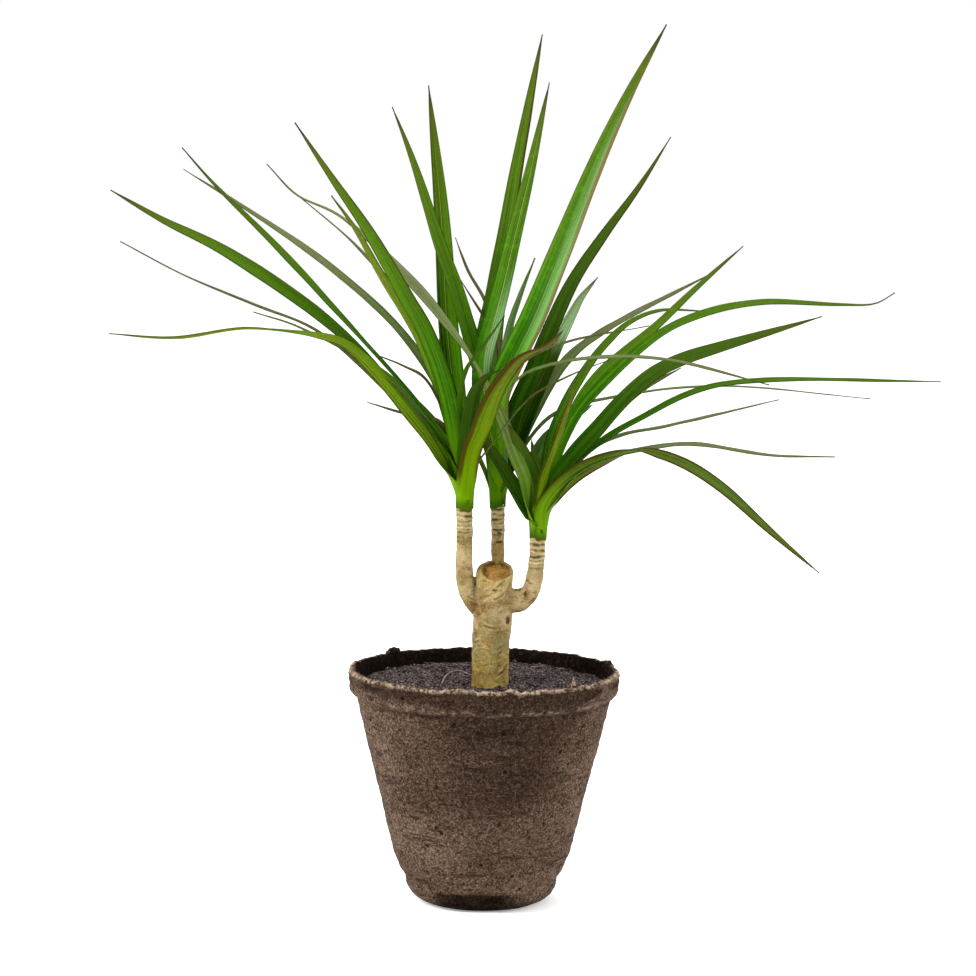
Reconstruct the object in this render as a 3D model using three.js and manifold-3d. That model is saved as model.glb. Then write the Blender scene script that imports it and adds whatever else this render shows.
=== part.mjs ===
// Potted dracaena: a cane with a cut stump and three leafy shoots, standing in a moulded fibre pot.
// Millimetres, +Z up, +X to the right, -Y to the front. The origin is the middle of the pot's foot.

import * as THREE from 'three';
import { mergeVertices } from 'three/addons/utils/BufferGeometryUtils.js';
import Module from 'manifold-3d';

const wasm = await Module();
wasm.setup();

// Driving dimensions of the pot.
const RIM_RADIUS = 65;
const POT_HEIGHT = 112;
const RIM_BAND = 10;
const RIM_OVERHANG = 4;
const RIM_CHAMFER = 1.5;
const FOOT_RADIUS = 36.5;
const FOOT_HEIGHT = 12;
const FOOT_ROUNDING = 8.5;
const POT_WALL = 3.5;
const POT_FLOOR = 4;
const RECESS_HEIGHT = 9.5;
const RECESS_DEPTH = 7;
const POT_SIDES = 40;

// Driving dimensions of what stands in it.
const SOIL_LEVEL = 105.5;
const SOIL_CROWN = 1.5;
const CANE_RADIUS = 8.9;
const CANE_X = 3;
const CANE_FOOT_Z = 45;
const CANE_SIDES = 16;
const CUT_CENTRE = [4.3, 0, 158.3];
const CUT_LEAN = 27.7;
const CUT_DEPTH = 20;
const SHOOT_SIDES = 12;
const SHEATH_HEIGHT = 24;
const SHEATH_SIDES = 10;
const FIT_GAP = 0.3;

// Each shoot's flat top, where its head of leaves begins.
const LEFT_TOP = [-10.4, 0, 189.5];
const CENTRE_TOP = [5.4, 11, 189];
const RIGHT_TOP = [24.7, 0, 175.5];
const LEFT_SHOOT_RADIUS = 3.85;
const CENTRE_SHOOT_RADIUS = 3.4;
const RIGHT_SHOOT_RADIUS = 3.65;

// A blade is a shallow V in section, clasping at its root and drawn out to a thin tip.
const BLADE_THICKNESS = 0.8;
const BLADE_STEPS = 11;
const TIP_WIDTH = 1.1;
const ROOT_WIDTH_SHARE = 0.72;
const WIDEST_AT = 0.35;
const TAPER_POWER = 2.2;
const FOLD_AT_ROOT = 24;
const FOLD_AT_TIP = 8;

// One leaf: its full width, how far it is rolled about its own midrib at the root and at the tip
// (in degrees, positive turns the upper face to the front), and the points that its midrib passes.
function leaf(width, roll, ...midrib) {
  return { width, roll, midrib };
}

const LEFT_LEAVES = [
  // Out to the left, from the lowest to the steepest.
  leaf(10, [75, -30], [-13, -3, 193], [-25, -8, 218], [-41, -14, 239], [-56, -21, 257], [-67, -27, 267],
    [-80, -33, 271], [-110, -48, 275], [-142, -58, 271], [-171, -66, 273]),
  leaf(4, [40, 30], [-12, -2, 195], [-27, -8, 222], [-48, -15, 247], [-90, -26, 272], [-109, -30, 282]),
  leaf(5, [45, 10], [-12, 3, 193], [-17, 6, 218], [-24, 10, 229], [-40, 17, 232], [-58, 20, 237]),
  leaf(3, [40, 40], [-12, -1, 197], [-18, -6, 227], [-30, -10, 251], [-40, -13, 257], [-52, -16, 262]),
  leaf(6, [5, 10], [-13, 3, 192], [-25, 6, 217], [-45, 10, 239], [-81, 18, 270], [-113, 22, 283],
    [-146, 26, 296], [-178, 30, 312]),
  leaf(11, [48, 45], [-12, 0, 193], [-19, -2, 216], [-36, -5, 236], [-72, -12, 273], [-121, -20, 308],
    [-153, -22, 324], [-176, -22, 337]),
  leaf(8, [35, 32], [-11, 0, 193], [-15, -3, 214], [-30, -6, 235], [-61, -14, 270], [-99, -24, 312],
    [-129, -30, 342], [-142, -32, 357]),
  leaf(8, [5, 16], [-11, 4, 192], [-18, 14, 230], [-39, 26, 266], [-74, 40, 298], [-116, 54, 326],
    [-151, 62, 347]),
  leaf(11.5, [-25, -40], [-10, -3, 193], [-14, -8, 215], [-20.5, -16, 248], [-30, -26, 274], [-37.5, -34, 288],
    [-56, -49, 321], [-71, -58, 343], [-88, -66, 368.5]),
  leaf(7.5, [-27, -27], [-10, -1, 194], [-17.5, -5, 226], [-27, -10, 256], [-35, -14, 274], [-52, -22, 302],
    [-62, -25, 320], [-73.5, -28, 336]),
  leaf(10, [0, 0], [-12, 1, 195], [-16, 8, 240], [-21, 18, 272], [-25, 33, 327], [-31, 46, 389]),
  // Over the front and round to the right.
  leaf(4, [20, 20], [-9, -3, 203], [-13, -20, 242], [-10, -30, 257], [-4, -38, 266], [7, -50, 283]),
  leaf(9, [0, 0], [-9, -3, 193], [-10, -12, 215], [-8.5, -18, 232], [-6, -28, 246], [-1, -38, 254],
    [5.5, -46, 258]),
  leaf(11, [0, 0], [-10, -4, 192], [-9, -14, 205], [-7, -26, 218], [-3, -40, 229], [4, -70, 250],
    [14, -100, 266], [26, -135, 275], [31, -155, 282]),
  leaf(4, [30, 30], [-9, -2, 193], [-1, -22, 226], [8, -38, 250], [18, -50, 263], [35, -64, 272],
    [71, -84, 281]),
  leaf(5, [30, 30], [-9, -3, 193], [1, -32, 234], [14, -48, 254], [27, -60, 261], [52, -72, 266],
    [80, -85, 266], [123, -105, 257]),
  leaf(4, [30, 30], [-9, -1, 193], [4, -24, 224], [19, -36, 244], [34, -44, 254], [55, -56, 264]),
  // Away to the back.
  leaf(9, [0, 0], [-10, 4, 192], [-14, 40, 218], [-19, 85, 239], [-23, 130, 256], [-26, 175, 261]),
  leaf(9, [0, 0], [-11, 4, 192], [-23, 38, 218], [-41, 75, 235], [-61, 115, 249], [-75, 150, 254]),
];

const CENTRE_LEAVES = [
  // Up and to the left.
  leaf(6, [10, 5], [5, 14, 192], [-1, 18, 204], [-8, 22, 219], [-18, 28, 248], [-31, 34, 271],
    [-64, 44, 310], [-95, 50, 336]),
  leaf(9.5, [-27, -20], [5, 11, 192], [1, 12, 240], [-6, 12, 259], [-16, 4, 292], [-23, -3, 311],
    [-37, -18, 354], [-46, -24, 377]),
  leaf(5, [-20, -20], [5, 13, 192], [7, 18, 230], [5, 24, 263], [-2, 30, 285], [-11, 36, 301],
    [-17, 42, 316]),
  leaf(5, [-10, -10], [5, 12, 192], [6, 16, 230], [3, 20, 270], [-3, 22, 279], [-14, 27, 296]),
  // Nearly upright.
  leaf(12, [-8, -12], [5, 13, 192], [-2, 19, 237], [-1.5, 20, 263], [3.5, 25, 291], [7.5, 28, 315],
    [13.5, 33, 354], [23.5, 42, 414]),
  leaf(11, [-12, -10], [5, 8, 192], [-1, 5, 235], [-2, 4, 259], [2.5, 0, 278.5], [7, -4, 297.5],
    [11, -10, 316.5], [17.5, -20, 346], [26, -30, 389]),
  leaf(6.5, [25, 25], [5, 10, 192], [6, 12, 240], [9.5, 11, 273], [14.5, 6, 290], [21, -6, 308]),
  // Up and to the right.
  leaf(14, [-45, -40], [6, 9, 192], [4.5, 7, 240], [9, 5, 253], [20.5, 0, 278], [31.5, -10, 307], [51, -24, 358],
    [64.5, -29, 388], [79, -32, 416]),
  leaf(11, [34, 34], [6, 14, 192], [13, 14, 230], [22.5, 18, 254], [31.5, 24, 277], [40.5, 32, 296],
    [53.5, 39, 316], [72, 46, 342], [87, 52, 366]),
  leaf(10, [0, -80], [6, 16, 192], [18, 20, 230], [32.5, 30, 265], [40.5, 44, 280], [44.5, 51, 287],
    [53, 62, 297]),
  leaf(8, [15, 10], [6, 14, 192], [20, 30, 226], [38, 48, 256], [54, 58, 269], [109, 86, 298]),
  leaf(4, [15, 10], [6, 12, 192], [13, 18, 208], [31, 28, 231], [63, 38, 240], [113, 50, 245],
    [189, 64, 239]),
  // Away to the back.
  leaf(9, [0, 0], [6, 15, 192], [2, 45, 227], [2, 80, 254], [5, 115, 278], [9, 150, 292]),
  leaf(9, [0, 0], [6, 15, 192], [14, 50, 217], [23, 85, 239], [34, 120, 258], [41, 155, 266]),
];

const RIGHT_LEAVES = [
  // Long ones that cross to the left.
  leaf(9, [60, 20], [24, 0, 178], [18, -6, 203], [13, -9, 215], [5, -13, 235], [-7, -14, 258],
    [-33, -8, 292], [-71, 1, 326], [-92, 5, 336], [-106, 8, 350]),
  leaf(9, [45, 10], [24, 0, 178], [16, -3, 194], [7, -5, 209], [0, -6, 220], [-5, -7, 230]),
  leaf(7, [10, 10], [24, -2, 179], [22, -5, 199], [18, -8, 213], [10, -15, 230]),
  // Short ones at the front.
  leaf(6, [0, 0], [25, 2, 179], [24, 6, 202], [21, 12, 221]),
  leaf(7, [30, 30], [25, -2, 179], [27, -14, 204], [32, -26, 221], [36, -40, 237], [40, -58, 256]),
  // Out to the right, from the steepest to the lowest.
  leaf(8, [48, 40], [25, 0, 179], [34.5, 0, 218], [43.5, -2, 239.5], [53.5, -3, 254], [78, -5, 276],
    [96, -6, 294], [118.5, -6, 315]),
  leaf(8, [35, 20], [25, 1, 179], [30.5, 4, 220], [37.5, 8, 238.5], [46.5, 12, 254.5], [57, 15, 268],
    [67.5, 17, 277.5], [81.5, 19, 283], [103, 24, 283]),
  leaf(8.5, [60, 28], [26, -1, 179], [33, -3, 212], [42, -8, 234], [54.5, -14, 250], [79.5, -24, 274],
    [97.5, -30, 283.5], [124, -38, 290], [159.5, -48, 290], [175.5, -51, 291], [184, -52, 296]),
  leaf(9.5, [75, 65], [26, -3, 179], [31, -5, 200], [40.5, -10, 215], [51, -16, 228], [64.5, -24, 244.5],
    [77, -32, 256.5], [89.5, -38, 263.5], [106.5, -46, 270], [150.5, -58, 285]),
  leaf(6, [35, 25], [27, -2, 179], [33.5, -4, 203], [53, -9, 221.5], [71.5, -13, 233.5], [98.5, -21, 248],
    [126, -30, 253.5], [207, -46, 255.5]),
  leaf(5, [15, 15], [26, 1, 179], [33, 4, 198], [52, 10, 218], [63, 13, 223], [88, 20, 228],
    [141, 35, 240]),
  leaf(6, [35, 20], [26, -3, 179], [41, -18, 206], [53, -26, 215], [71, -36, 221], [93, -46, 225],
    [128, -62, 222], [156, -76, 223]),
  leaf(10.5, [-50, 35], [26, -4, 179], [29, -9, 192], [39, -17, 205], [52.5, -26, 214], [69.5, -40, 221],
    [80.5, -50, 219.5], [93.5, -60, 215], [106.5, -68, 207], [128, -82, 189], [148.5, -92, 172.5]),
  // Away to the back.
  leaf(9, [0, 0], [25, 4, 179], [29, 40, 199], [36, 80, 212], [48, 125, 224], [55, 165, 226]),
  leaf(9, [0, 0], [26, 4, 179], [36, 40, 201], [52, 75, 218], [75, 110, 236], [100, 140, 248]),
];

// Closed meshes to solids and back.

function solid(geometry) {
  const bare = geometry.clone();
  bare.deleteAttribute('normal');
  bare.deleteAttribute('uv');
  const merged = mergeVertices(bare, 1e-4);
  return new wasm.Manifold(new wasm.Mesh({
    numProp: 3,
    vertProperties: new Float32Array(merged.attributes.position.array),
    triVerts: new Uint32Array(merged.index.array),
  }));
}

function geometryOf(body) {
  const mesh = body.getMesh();
  const geometry = new THREE.BufferGeometry();
  geometry.setAttribute('position', new THREE.BufferAttribute(mesh.vertProperties, 3));
  geometry.setIndex(new THREE.BufferAttribute(mesh.triVerts, 1));
  geometry.computeVertexNormals();
  return geometry;
}

function union(bodies) {
  return bodies.reduce((whole, body) => whole.add(body));
}

// A closed skin over rings of equally many points. The ring's second half lies under its first half,
// and its cells are split the other way, so both faces of a thin blade fold along the same lines.
function loft(rings) {
  const count = rings[0].length;
  const half = count / 2;
  const corners = rings.flat().flatMap((point) => point.toArray());
  const faces = [];
  for (let ring = 0; ring < rings.length - 1; ring += 1) {
    for (let side = 0; side < count; side += 1) {
      const a = ring * count + side;
      const b = ring * count + (side + 1) % count;
      const c = b + count;
      const d = a + count;
      if (side < half) {
        faces.push(a, b, c, a, c, d);
      } else {
        faces.push(a, b, d, b, c, d);
      }
    }
  }
  const last = (rings.length - 1) * count;
  for (let side = 0; side < half - 1; side += 1) {
    const opposite = count - 1 - side;
    faces.push(side, opposite, side + 1, side + 1, opposite, opposite - 1);
    faces.push(last + side, last + side + 1, last + opposite);
    faces.push(last + side + 1, last + opposite - 1, last + opposite);
  }
  const geometry = new THREE.BufferGeometry();
  geometry.setAttribute('position', new THREE.Float32BufferAttribute(corners, 3));
  geometry.setIndex(faces);
  return geometry;
}

function vectors(points) {
  return points.map((point) => new THREE.Vector3(...point));
}

// A round limb through the given points, whose radius follows its own list of the same length.
function limb(points, radii, sides, steps) {
  const curve = new THREE.CatmullRomCurve3(vectors(points));
  const across = new THREE.Vector3(0, 1, 0);
  const rings = [];
  for (let step = 0; step <= steps; step += 1) {
    const t = step / steps;
    const place = t * (radii.length - 1);
    const before = Math.min(Math.floor(place), radii.length - 2);
    const radius = THREE.MathUtils.lerp(radii[before], radii[before + 1], place - before);
    const centre = curve.getPoint(t);
    const outward = across.clone().cross(curve.getTangent(t)).normalize();
    const ring = [];
    for (let side = 0; side < sides; side += 1) {
      const angle = 2 * Math.PI * side / sides;
      ring.push(centre.clone()
        .addScaledVector(outward, radius * Math.cos(angle))
        .addScaledVector(across, radius * Math.sin(angle)));
    }
    rings.push(ring);
  }
  return solid(loft(rings));
}

function upright(radius, height, sides, x, y, base) {
  const cylinder = new THREE.CylinderGeometry(radius, radius, height, sides);
  cylinder.rotateX(Math.PI / 2);
  cylinder.translate(x, y, base + height / 2);
  return solid(cylinder);
}

function turned(outline) {
  const lathe = new THREE.LatheGeometry(outline.map(([r, z]) => new THREE.Vector2(r, z)), POT_SIDES);
  lathe.rotateX(Math.PI / 2);
  return solid(lathe);
}

// Pot and soil.

const WALL_TOP = POT_HEIGHT - RIM_BAND;
const WALL_TOP_RADIUS = RIM_RADIUS - RIM_OVERHANG;
const LOWER_WALL_Z = 24;
const LOWER_WALL_RADIUS = 42.5;
const SHOULDER_Z = 16;
const SHOULDER_RADIUS = 39.5;

// The inside of the pot's wall, drawn in by some clearance; the list runs from the axis outwards.
function insideOutline(clearance) {
  const inset = POT_WALL + clearance;
  const floor = POT_FLOOR + clearance;
  return [
    [0, floor],
    [FOOT_RADIUS - FOOT_ROUNDING, floor],
    [FOOT_RADIUS - inset, FOOT_ROUNDING],
    [FOOT_RADIUS - inset, FOOT_HEIGHT],
    [LOWER_WALL_RADIUS - inset, LOWER_WALL_Z],
    [WALL_TOP_RADIUS - inset, WALL_TOP],
  ];
}

function outsideOutline() {
  const outline = [[0, 0]];
  for (let degrees = 0; degrees <= 90; degrees += 22.5) {
    const angle = THREE.MathUtils.degToRad(degrees);
    outline.push([
      FOOT_RADIUS - FOOT_ROUNDING * (1 - Math.sin(angle)),
      FOOT_ROUNDING * (1 - Math.cos(angle)),
    ]);
  }
  outline.push(
    [FOOT_RADIUS, FOOT_HEIGHT],
    [SHOULDER_RADIUS, SHOULDER_Z],
    [LOWER_WALL_RADIUS, LOWER_WALL_Z],
    [WALL_TOP_RADIUS, WALL_TOP],
    [RIM_RADIUS, WALL_TOP + RIM_CHAMFER],
    [RIM_RADIUS, POT_HEIGHT - RIM_CHAMFER],
    [RIM_RADIUS - RIM_CHAMFER, POT_HEIGHT],
    [0, POT_HEIGHT],
  );
  return outline;
}

// The flat notches low on the foot at the front and the back, grown by the wall for the pot's inside.
function footRecesses(growth) {
  const height = RECESS_HEIGHT + growth;
  const reach = 2 * FOOT_RADIUS;
  const start = FOOT_RADIUS - RECESS_DEPTH - growth;
  const notches = [-1, 1].map((side) => {
    const block = new THREE.BoxGeometry(reach, reach, 2 * height);
    block.translate(0, side * (start + reach / 2), 0);
    return solid(block);
  });
  return union(notches);
}

function potBody() {
  const cavity = turned([
    ...insideOutline(0),
    [RIM_RADIUS - POT_WALL, POT_HEIGHT - RIM_CHAMFER],
    [RIM_RADIUS - POT_WALL, POT_HEIGHT + RIM_CHAMFER],
    [0, POT_HEIGHT + RIM_CHAMFER],
  ]);
  return turned(outsideOutline())
    .subtract(footRecesses(0))
    .subtract(cavity.subtract(footRecesses(POT_WALL)));
}

function soilBody() {
  const soilRadius = WALL_TOP_RADIUS - POT_WALL - FIT_GAP;
  const block = turned([
    ...insideOutline(FIT_GAP),
    [soilRadius, SOIL_LEVEL - SOIL_CROWN],
    [0.8 * soilRadius, SOIL_LEVEL],
    [0, SOIL_LEVEL],
  ]);
  const holeFoot = CANE_FOOT_Z - FIT_GAP;
  const hole = upright(CANE_RADIUS + FIT_GAP, POT_HEIGHT - holeFoot, CANE_SIDES, CANE_X, 0, holeFoot);
  return block.subtract(footRecesses(POT_WALL + FIT_GAP)).subtract(hole);
}

// Cane: the trunk, cut off on a slant that leans to the front, and the three shoots that leave it.

function caneBody() {
  const trunk = limb(
    [[CANE_X, 0, CANE_FOOT_Z], [CANE_X, 0, 75], [CANE_X, 0, 104], [2.9, 0, 118],
      [3.3, 0, 129], [3.7, 0, 136], [4.1, 0, 150], [4.3, 0, 168]],
    [CANE_RADIUS, CANE_RADIUS, CANE_RADIUS, 8.9, 9.1, 9.2, 8.9, 8.7],
    CANE_SIDES,
    14,
  );
  const above = new THREE.BoxGeometry(4 * CANE_RADIUS, 4 * CANE_RADIUS, CUT_DEPTH);
  above.translate(0, 0, CUT_DEPTH / 2);
  above.rotateX(THREE.MathUtils.degToRad(CUT_LEAN));
  above.translate(...CUT_CENTRE);
  const left = limb(
    [[1, 0, 138], [-4.5, 0, 143.5], [-8, 0, 149], [-9.8, 0, 156], [-10.3, 0, 163],
      [-10.2, 0, 172], LEFT_TOP],
    [4.8, 4.8, 4.6, 4.3, 4, 3.9, LEFT_SHOOT_RADIUS],
    SHOOT_SIDES,
    12,
  );
  const centre = limb(
    [[5, 5, 142], [5.8, 9.5, 152], [5.8, 11, 163], CENTRE_TOP],
    [4, 3.7, 3.1, CENTRE_SHOOT_RADIUS],
    SHOOT_SIDES,
    9,
  );
  const right = limb(
    [[6, 0, 144], [13, 0, 144.7], [17, 0, 145.5], [20.6, 0, 148.2], [22.6, 0, 152.5],
      [23.8, 0, 158.5], [24.4, 0, 167], RIGHT_TOP],
    [6, 5.9, 5.6, 4.6, 4.2, 3.9, 3.8, RIGHT_SHOOT_RADIUS],
    SHOOT_SIDES,
    14,
  );
  return union([trunk.subtract(solid(above)), left, centre, right]);
}

// Heads of leaves.

function bladeWidth(width, s) {
  const opening = Math.sin(Math.min(s / WIDEST_AT, 1) * Math.PI / 2);
  const share = ROOT_WIDTH_SHARE + (1 - ROOT_WIDTH_SHARE) * opening;
  const taper = Math.pow(1 - Math.pow(s, TAPER_POWER), 0.85);
  return Math.max(width * share * taper, TIP_WIDTH);
}

function bladeBody({ width, roll, midrib }) {
  const up = new THREE.Vector3(0, 0, 1);
  const curve = new THREE.CatmullRomCurve3(vectors(midrib));
  const outward = curve.getPoint(1).sub(curve.getPoint(0)).setZ(0).normalize();
  const frontward = Math.sign(outward.x) || 1;
  const rings = [];
  for (let step = 0; step <= BLADE_STEPS; step += 1) {
    const s = step / BLADE_STEPS;
    const along = curve.getTangentAt(s);
    const face = up.clone().multiplyScalar(along.dot(outward)).addScaledVector(outward, -along.z);
    face.addScaledVector(along, -face.dot(along)).normalize();
    const angle = THREE.MathUtils.degToRad(THREE.MathUtils.lerp(roll[0], roll[1], s));
    face.applyAxisAngle(along, angle * frontward);
    const across = along.clone().cross(face);
    const halfWidth = bladeWidth(width, s) / 2;
    const fold = THREE.MathUtils.degToRad(THREE.MathUtils.lerp(FOLD_AT_ROOT, FOLD_AT_TIP, s));
    const middle = curve.getPointAt(s);
    const corner = (side, top) => middle.clone()
      .addScaledVector(across, side * halfWidth * Math.cos(fold))
      .addScaledVector(face, Math.abs(side) * halfWidth * Math.sin(fold) + top * BLADE_THICKNESS / 2);
    rings.push([
      corner(-1, 1), corner(0, 1), corner(1, 1),
      corner(1, -1), corner(0, -1), corner(-1, -1),
    ]);
  }
  return solid(loft(rings));
}

// The leaf bases wrap one another into a short sheath, which sits on the shoot's flat top.
function headBody(top, shootRadius, leaves) {
  const [x, y, z] = top;
  const seat = z + FIT_GAP;
  const sheath = limb(
    [[x, y, seat], [x, y, seat + SHEATH_HEIGHT / 3], [x, y, seat + SHEATH_HEIGHT]],
    [shootRadius, shootRadius + 1, shootRadius - 1],
    SHEATH_SIDES,
    4,
  );
  const below = upright(4 * shootRadius, SHEATH_HEIGHT, SHEATH_SIDES, x, y, seat - SHEATH_HEIGHT);
  return union([sheath, ...leaves.map(bladeBody)]).subtract(below);
}

// Scene graph.

const FIBRE = new THREE.MeshStandardMaterial({ color: 0x6b5a4f, roughness: 0.95, metalness: 0 });
const EARTH = new THREE.MeshStandardMaterial({ color: 0x3a302d, roughness: 1, metalness: 0 });
const BARK = new THREE.MeshStandardMaterial({ color: 0xc3ad7f, roughness: 0.8, metalness: 0 });
const GREEN = new THREE.MeshStandardMaterial({ color: 0x4a8427, roughness: 0.45, metalness: 0 });

function part(name, body, material) {
  const mesh = new THREE.Mesh(geometryOf(body), material);
  mesh.name = name;
  return mesh;
}

const plant = new THREE.Group();
plant.add(
  part('pot', potBody(), FIBRE),
  part('soil', soilBody(), EARTH),
  part('cane', caneBody(), BARK),
  part('leaves_left', headBody(LEFT_TOP, LEFT_SHOOT_RADIUS, LEFT_LEAVES), GREEN),
  part('leaves_centre', headBody(CENTRE_TOP, CENTRE_SHOOT_RADIUS, CENTRE_LEAVES), GREEN),
  part('leaves_right', headBody(RIGHT_TOP, RIGHT_SHOOT_RADIUS, RIGHT_LEAVES), GREEN),
);

export default plant;
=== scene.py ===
"""Looks of the potted dracaena: fibre pot, soil, cane and three heads of long narrow leaves.

Sizes in the tables are millimetres, in the frame of the solids: MM turns them into metres.
"""

import math
import random

import bmesh
import bpy
from mathutils import Matrix, Vector, noise


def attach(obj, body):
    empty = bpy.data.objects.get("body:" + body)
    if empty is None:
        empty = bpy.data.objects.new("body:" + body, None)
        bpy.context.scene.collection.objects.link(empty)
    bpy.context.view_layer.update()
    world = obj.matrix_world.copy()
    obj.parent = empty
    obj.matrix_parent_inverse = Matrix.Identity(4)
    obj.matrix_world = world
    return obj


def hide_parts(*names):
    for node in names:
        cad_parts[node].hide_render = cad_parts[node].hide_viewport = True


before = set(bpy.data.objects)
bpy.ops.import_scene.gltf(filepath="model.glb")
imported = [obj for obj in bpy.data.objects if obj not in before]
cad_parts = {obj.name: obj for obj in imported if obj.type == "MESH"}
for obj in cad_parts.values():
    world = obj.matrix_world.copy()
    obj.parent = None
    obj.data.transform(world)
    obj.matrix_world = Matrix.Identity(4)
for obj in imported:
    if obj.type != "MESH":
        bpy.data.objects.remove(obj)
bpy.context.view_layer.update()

MM = 0.001
FULL_TURN = 2 * math.pi

# ---------------------------------------------------------------- camera

CAMERA_PLACE = Vector((0.0006, -1.400, 0.348))
CAMERA_TILT_DOWN = math.radians(6.09)
CAMERA_ROLL = math.radians(0.84)
PHOTO_SIDE_PIXELS = 976
FOCAL_LENGTH_PIXELS = 2965
SENSOR_WIDTH_MM = 36


def add_camera():
    data = bpy.data.cameras.new("camera")
    data.sensor_width = SENSOR_WIDTH_MM
    data.lens = SENSOR_WIDTH_MM * FOCAL_LENGTH_PIXELS / PHOTO_SIDE_PIXELS
    camera = bpy.data.objects.new("camera", data)
    tilt = Matrix.Rotation(math.pi / 2 - CAMERA_TILT_DOWN, 4, "X")
    roll = Matrix.Rotation(CAMERA_ROLL, 4, "Z")
    camera.matrix_world = Matrix.Translation(CAMERA_PLACE) @ tilt @ roll
    bpy.context.scene.collection.objects.link(camera)
    bpy.context.scene.camera = camera


add_camera()

# ---------------------------------------------------------------- shader tools


def srgb(red, green, blue):
    """A colour given 0 to 255 a channel, as the linear values that a shader takes."""
    linear = []
    for channel in (red, green, blue):
        share = channel / 255
        if share <= 0.04045:
            linear.append(share / 12.92)
        else:
            linear.append(((share + 0.055) / 1.055) ** 2.4)
    return (*linear, 1.0)


class Signal:
    """One output socket. Arithmetic on it adds Math nodes."""

    def __init__(self, finish, socket):
        self.finish = finish
        self.socket = socket

    def math(self, operation, *values):
        return self.finish.node("ShaderNodeMath", {"operation": operation}, dict(enumerate(values)))

    def __add__(self, other):
        return self.math("ADD", self, other)

    def __radd__(self, other):
        return self.math("ADD", other, self)

    def __sub__(self, other):
        return self.math("SUBTRACT", self, other)

    def __rsub__(self, other):
        return self.math("SUBTRACT", other, self)

    def __mul__(self, other):
        return self.math("MULTIPLY", self, other)

    def __rmul__(self, other):
        return self.math("MULTIPLY", other, self)

    def __abs__(self):
        return self.math("ABSOLUTE", self)

    def step(self, low, high):
        """0 below low and 1 above high, or the other way round when low is above high."""
        span = {"interpolation_type": "SMOOTHSTEP"}
        return self.finish.node("ShaderNodeMapRange", span, {0: self, 1: low, 2: high, 3: 0.0, 4: 1.0})


class Finish:
    """One material. Every node in it is added by node()."""

    def __init__(self, name, roughness, specular=0.5):
        self.material = bpy.data.materials.new(name)
        self.material.use_nodes = True
        self.tree = self.material.node_tree
        self.surface = self.tree.nodes["Principled BSDF"]
        self.surface.inputs["Roughness"].default_value = roughness
        self.surface.inputs["Specular IOR Level"].default_value = specular

    def node(self, kind, settings, inputs, output=0):
        new = self.tree.nodes.new(kind)
        for key, value in settings.items():
            setattr(new, key, value)
        for key, value in inputs.items():
            self.feed(new.inputs[key], value)
        return Signal(self, new.outputs[output])

    def feed(self, socket, value):
        if isinstance(value, Signal):
            self.tree.links.new(value.socket, socket)
        else:
            socket.default_value = value

    def place(self, squeeze=(1, 1, 1), turn=(0, 0, 0), source="Object"):
        """Object or UV coordinates, squeezed and turned to run a pattern one way."""
        outputs = {"Object": 3, "UV": 2}
        place = self.node("ShaderNodeTexCoord", {}, {}, outputs[source])
        return self.node("ShaderNodeMapping", {}, {0: place, "Rotation": turn, "Scale": squeeze})

    def blade_place(self):
        """Where a spot lies on a leaf: across it, and along it from root to tip, both 0 to 1."""
        split = self.node("ShaderNodeSeparateXYZ", {}, {0: self.place(source="UV")})
        return split, Signal(self, split.socket.node.outputs[1])

    def attribute(self, name):
        return self.node("ShaderNodeAttribute", {"attribute_name": name}, {}, 2)

    def noise(self, place, per_metre, detail=3.0, roughness=0.55, distortion=0.0, shift=0.0):
        values = {"Vector": place, "W": shift, "Scale": per_metre, "Detail": detail,
                  "Roughness": roughness, "Distortion": distortion}
        return self.node("ShaderNodeTexNoise", {"noise_dimensions": "4D"}, values)

    def cells(self, place, per_metre, output=0):
        return self.node("ShaderNodeTexVoronoi", {}, {"Vector": place, "Scale": per_metre}, output)

    def blend(self, share, first, second):
        return self.node("ShaderNodeMix", {"data_type": "RGBA"}, {0: share, 6: first, 7: second}, 2)

    def colour(self, ground, *coats):
        """The ground colour, with each coat laid over it in turn: how much of it, and its colour."""
        for share, coat in coats:
            ground = self.blend(share, ground, coat)
        self.feed(self.surface.inputs["Base Color"], ground)

    def bump(self, height, depth_mm, strength=1.0):
        values = {"Height": height, "Distance": depth_mm * MM, "Strength": strength}
        self.feed(self.surface.inputs["Normal"], self.node("ShaderNodeBump", {}, values))


# ---------------------------------------------------------------- finishes
# Colours were read one by one. The shares and steps that lay them on were set against the photograph.

PULP_DARK = srgb(70, 53, 42)
PULP_LIGHT = srgb(92, 74, 61)
PULP_SHADE = srgb(38, 25, 17)
FELT_LIGHT = srgb(122, 102, 86)
FELT_DARK = srgb(30, 18, 12)
GRAIN_LIGHT = srgb(156, 136, 118)
GRAIN_DARK = srgb(20, 11, 7)
CREASE_SHADE = srgb(26, 15, 10)
PIT_SHADE = srgb(18, 9, 6)
LIP_PALE_AND_HIGHLIGHT = srgb(178, 156, 134)
LIP_GRAIN = srgb(44, 29, 20)
DARKENED_SHADED_PULP = srgb(9, 5, 3)
DARKENED_SHADED_FELT = srgb(38, 26, 19)

SOIL_DARK = srgb(33, 25, 24)
SOIL_LIGHT = srgb(70, 58, 57)
SOIL_GRIT = srgb(150, 136, 133)
SOIL_GAP_SHADE = srgb(8, 5, 5)

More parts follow.
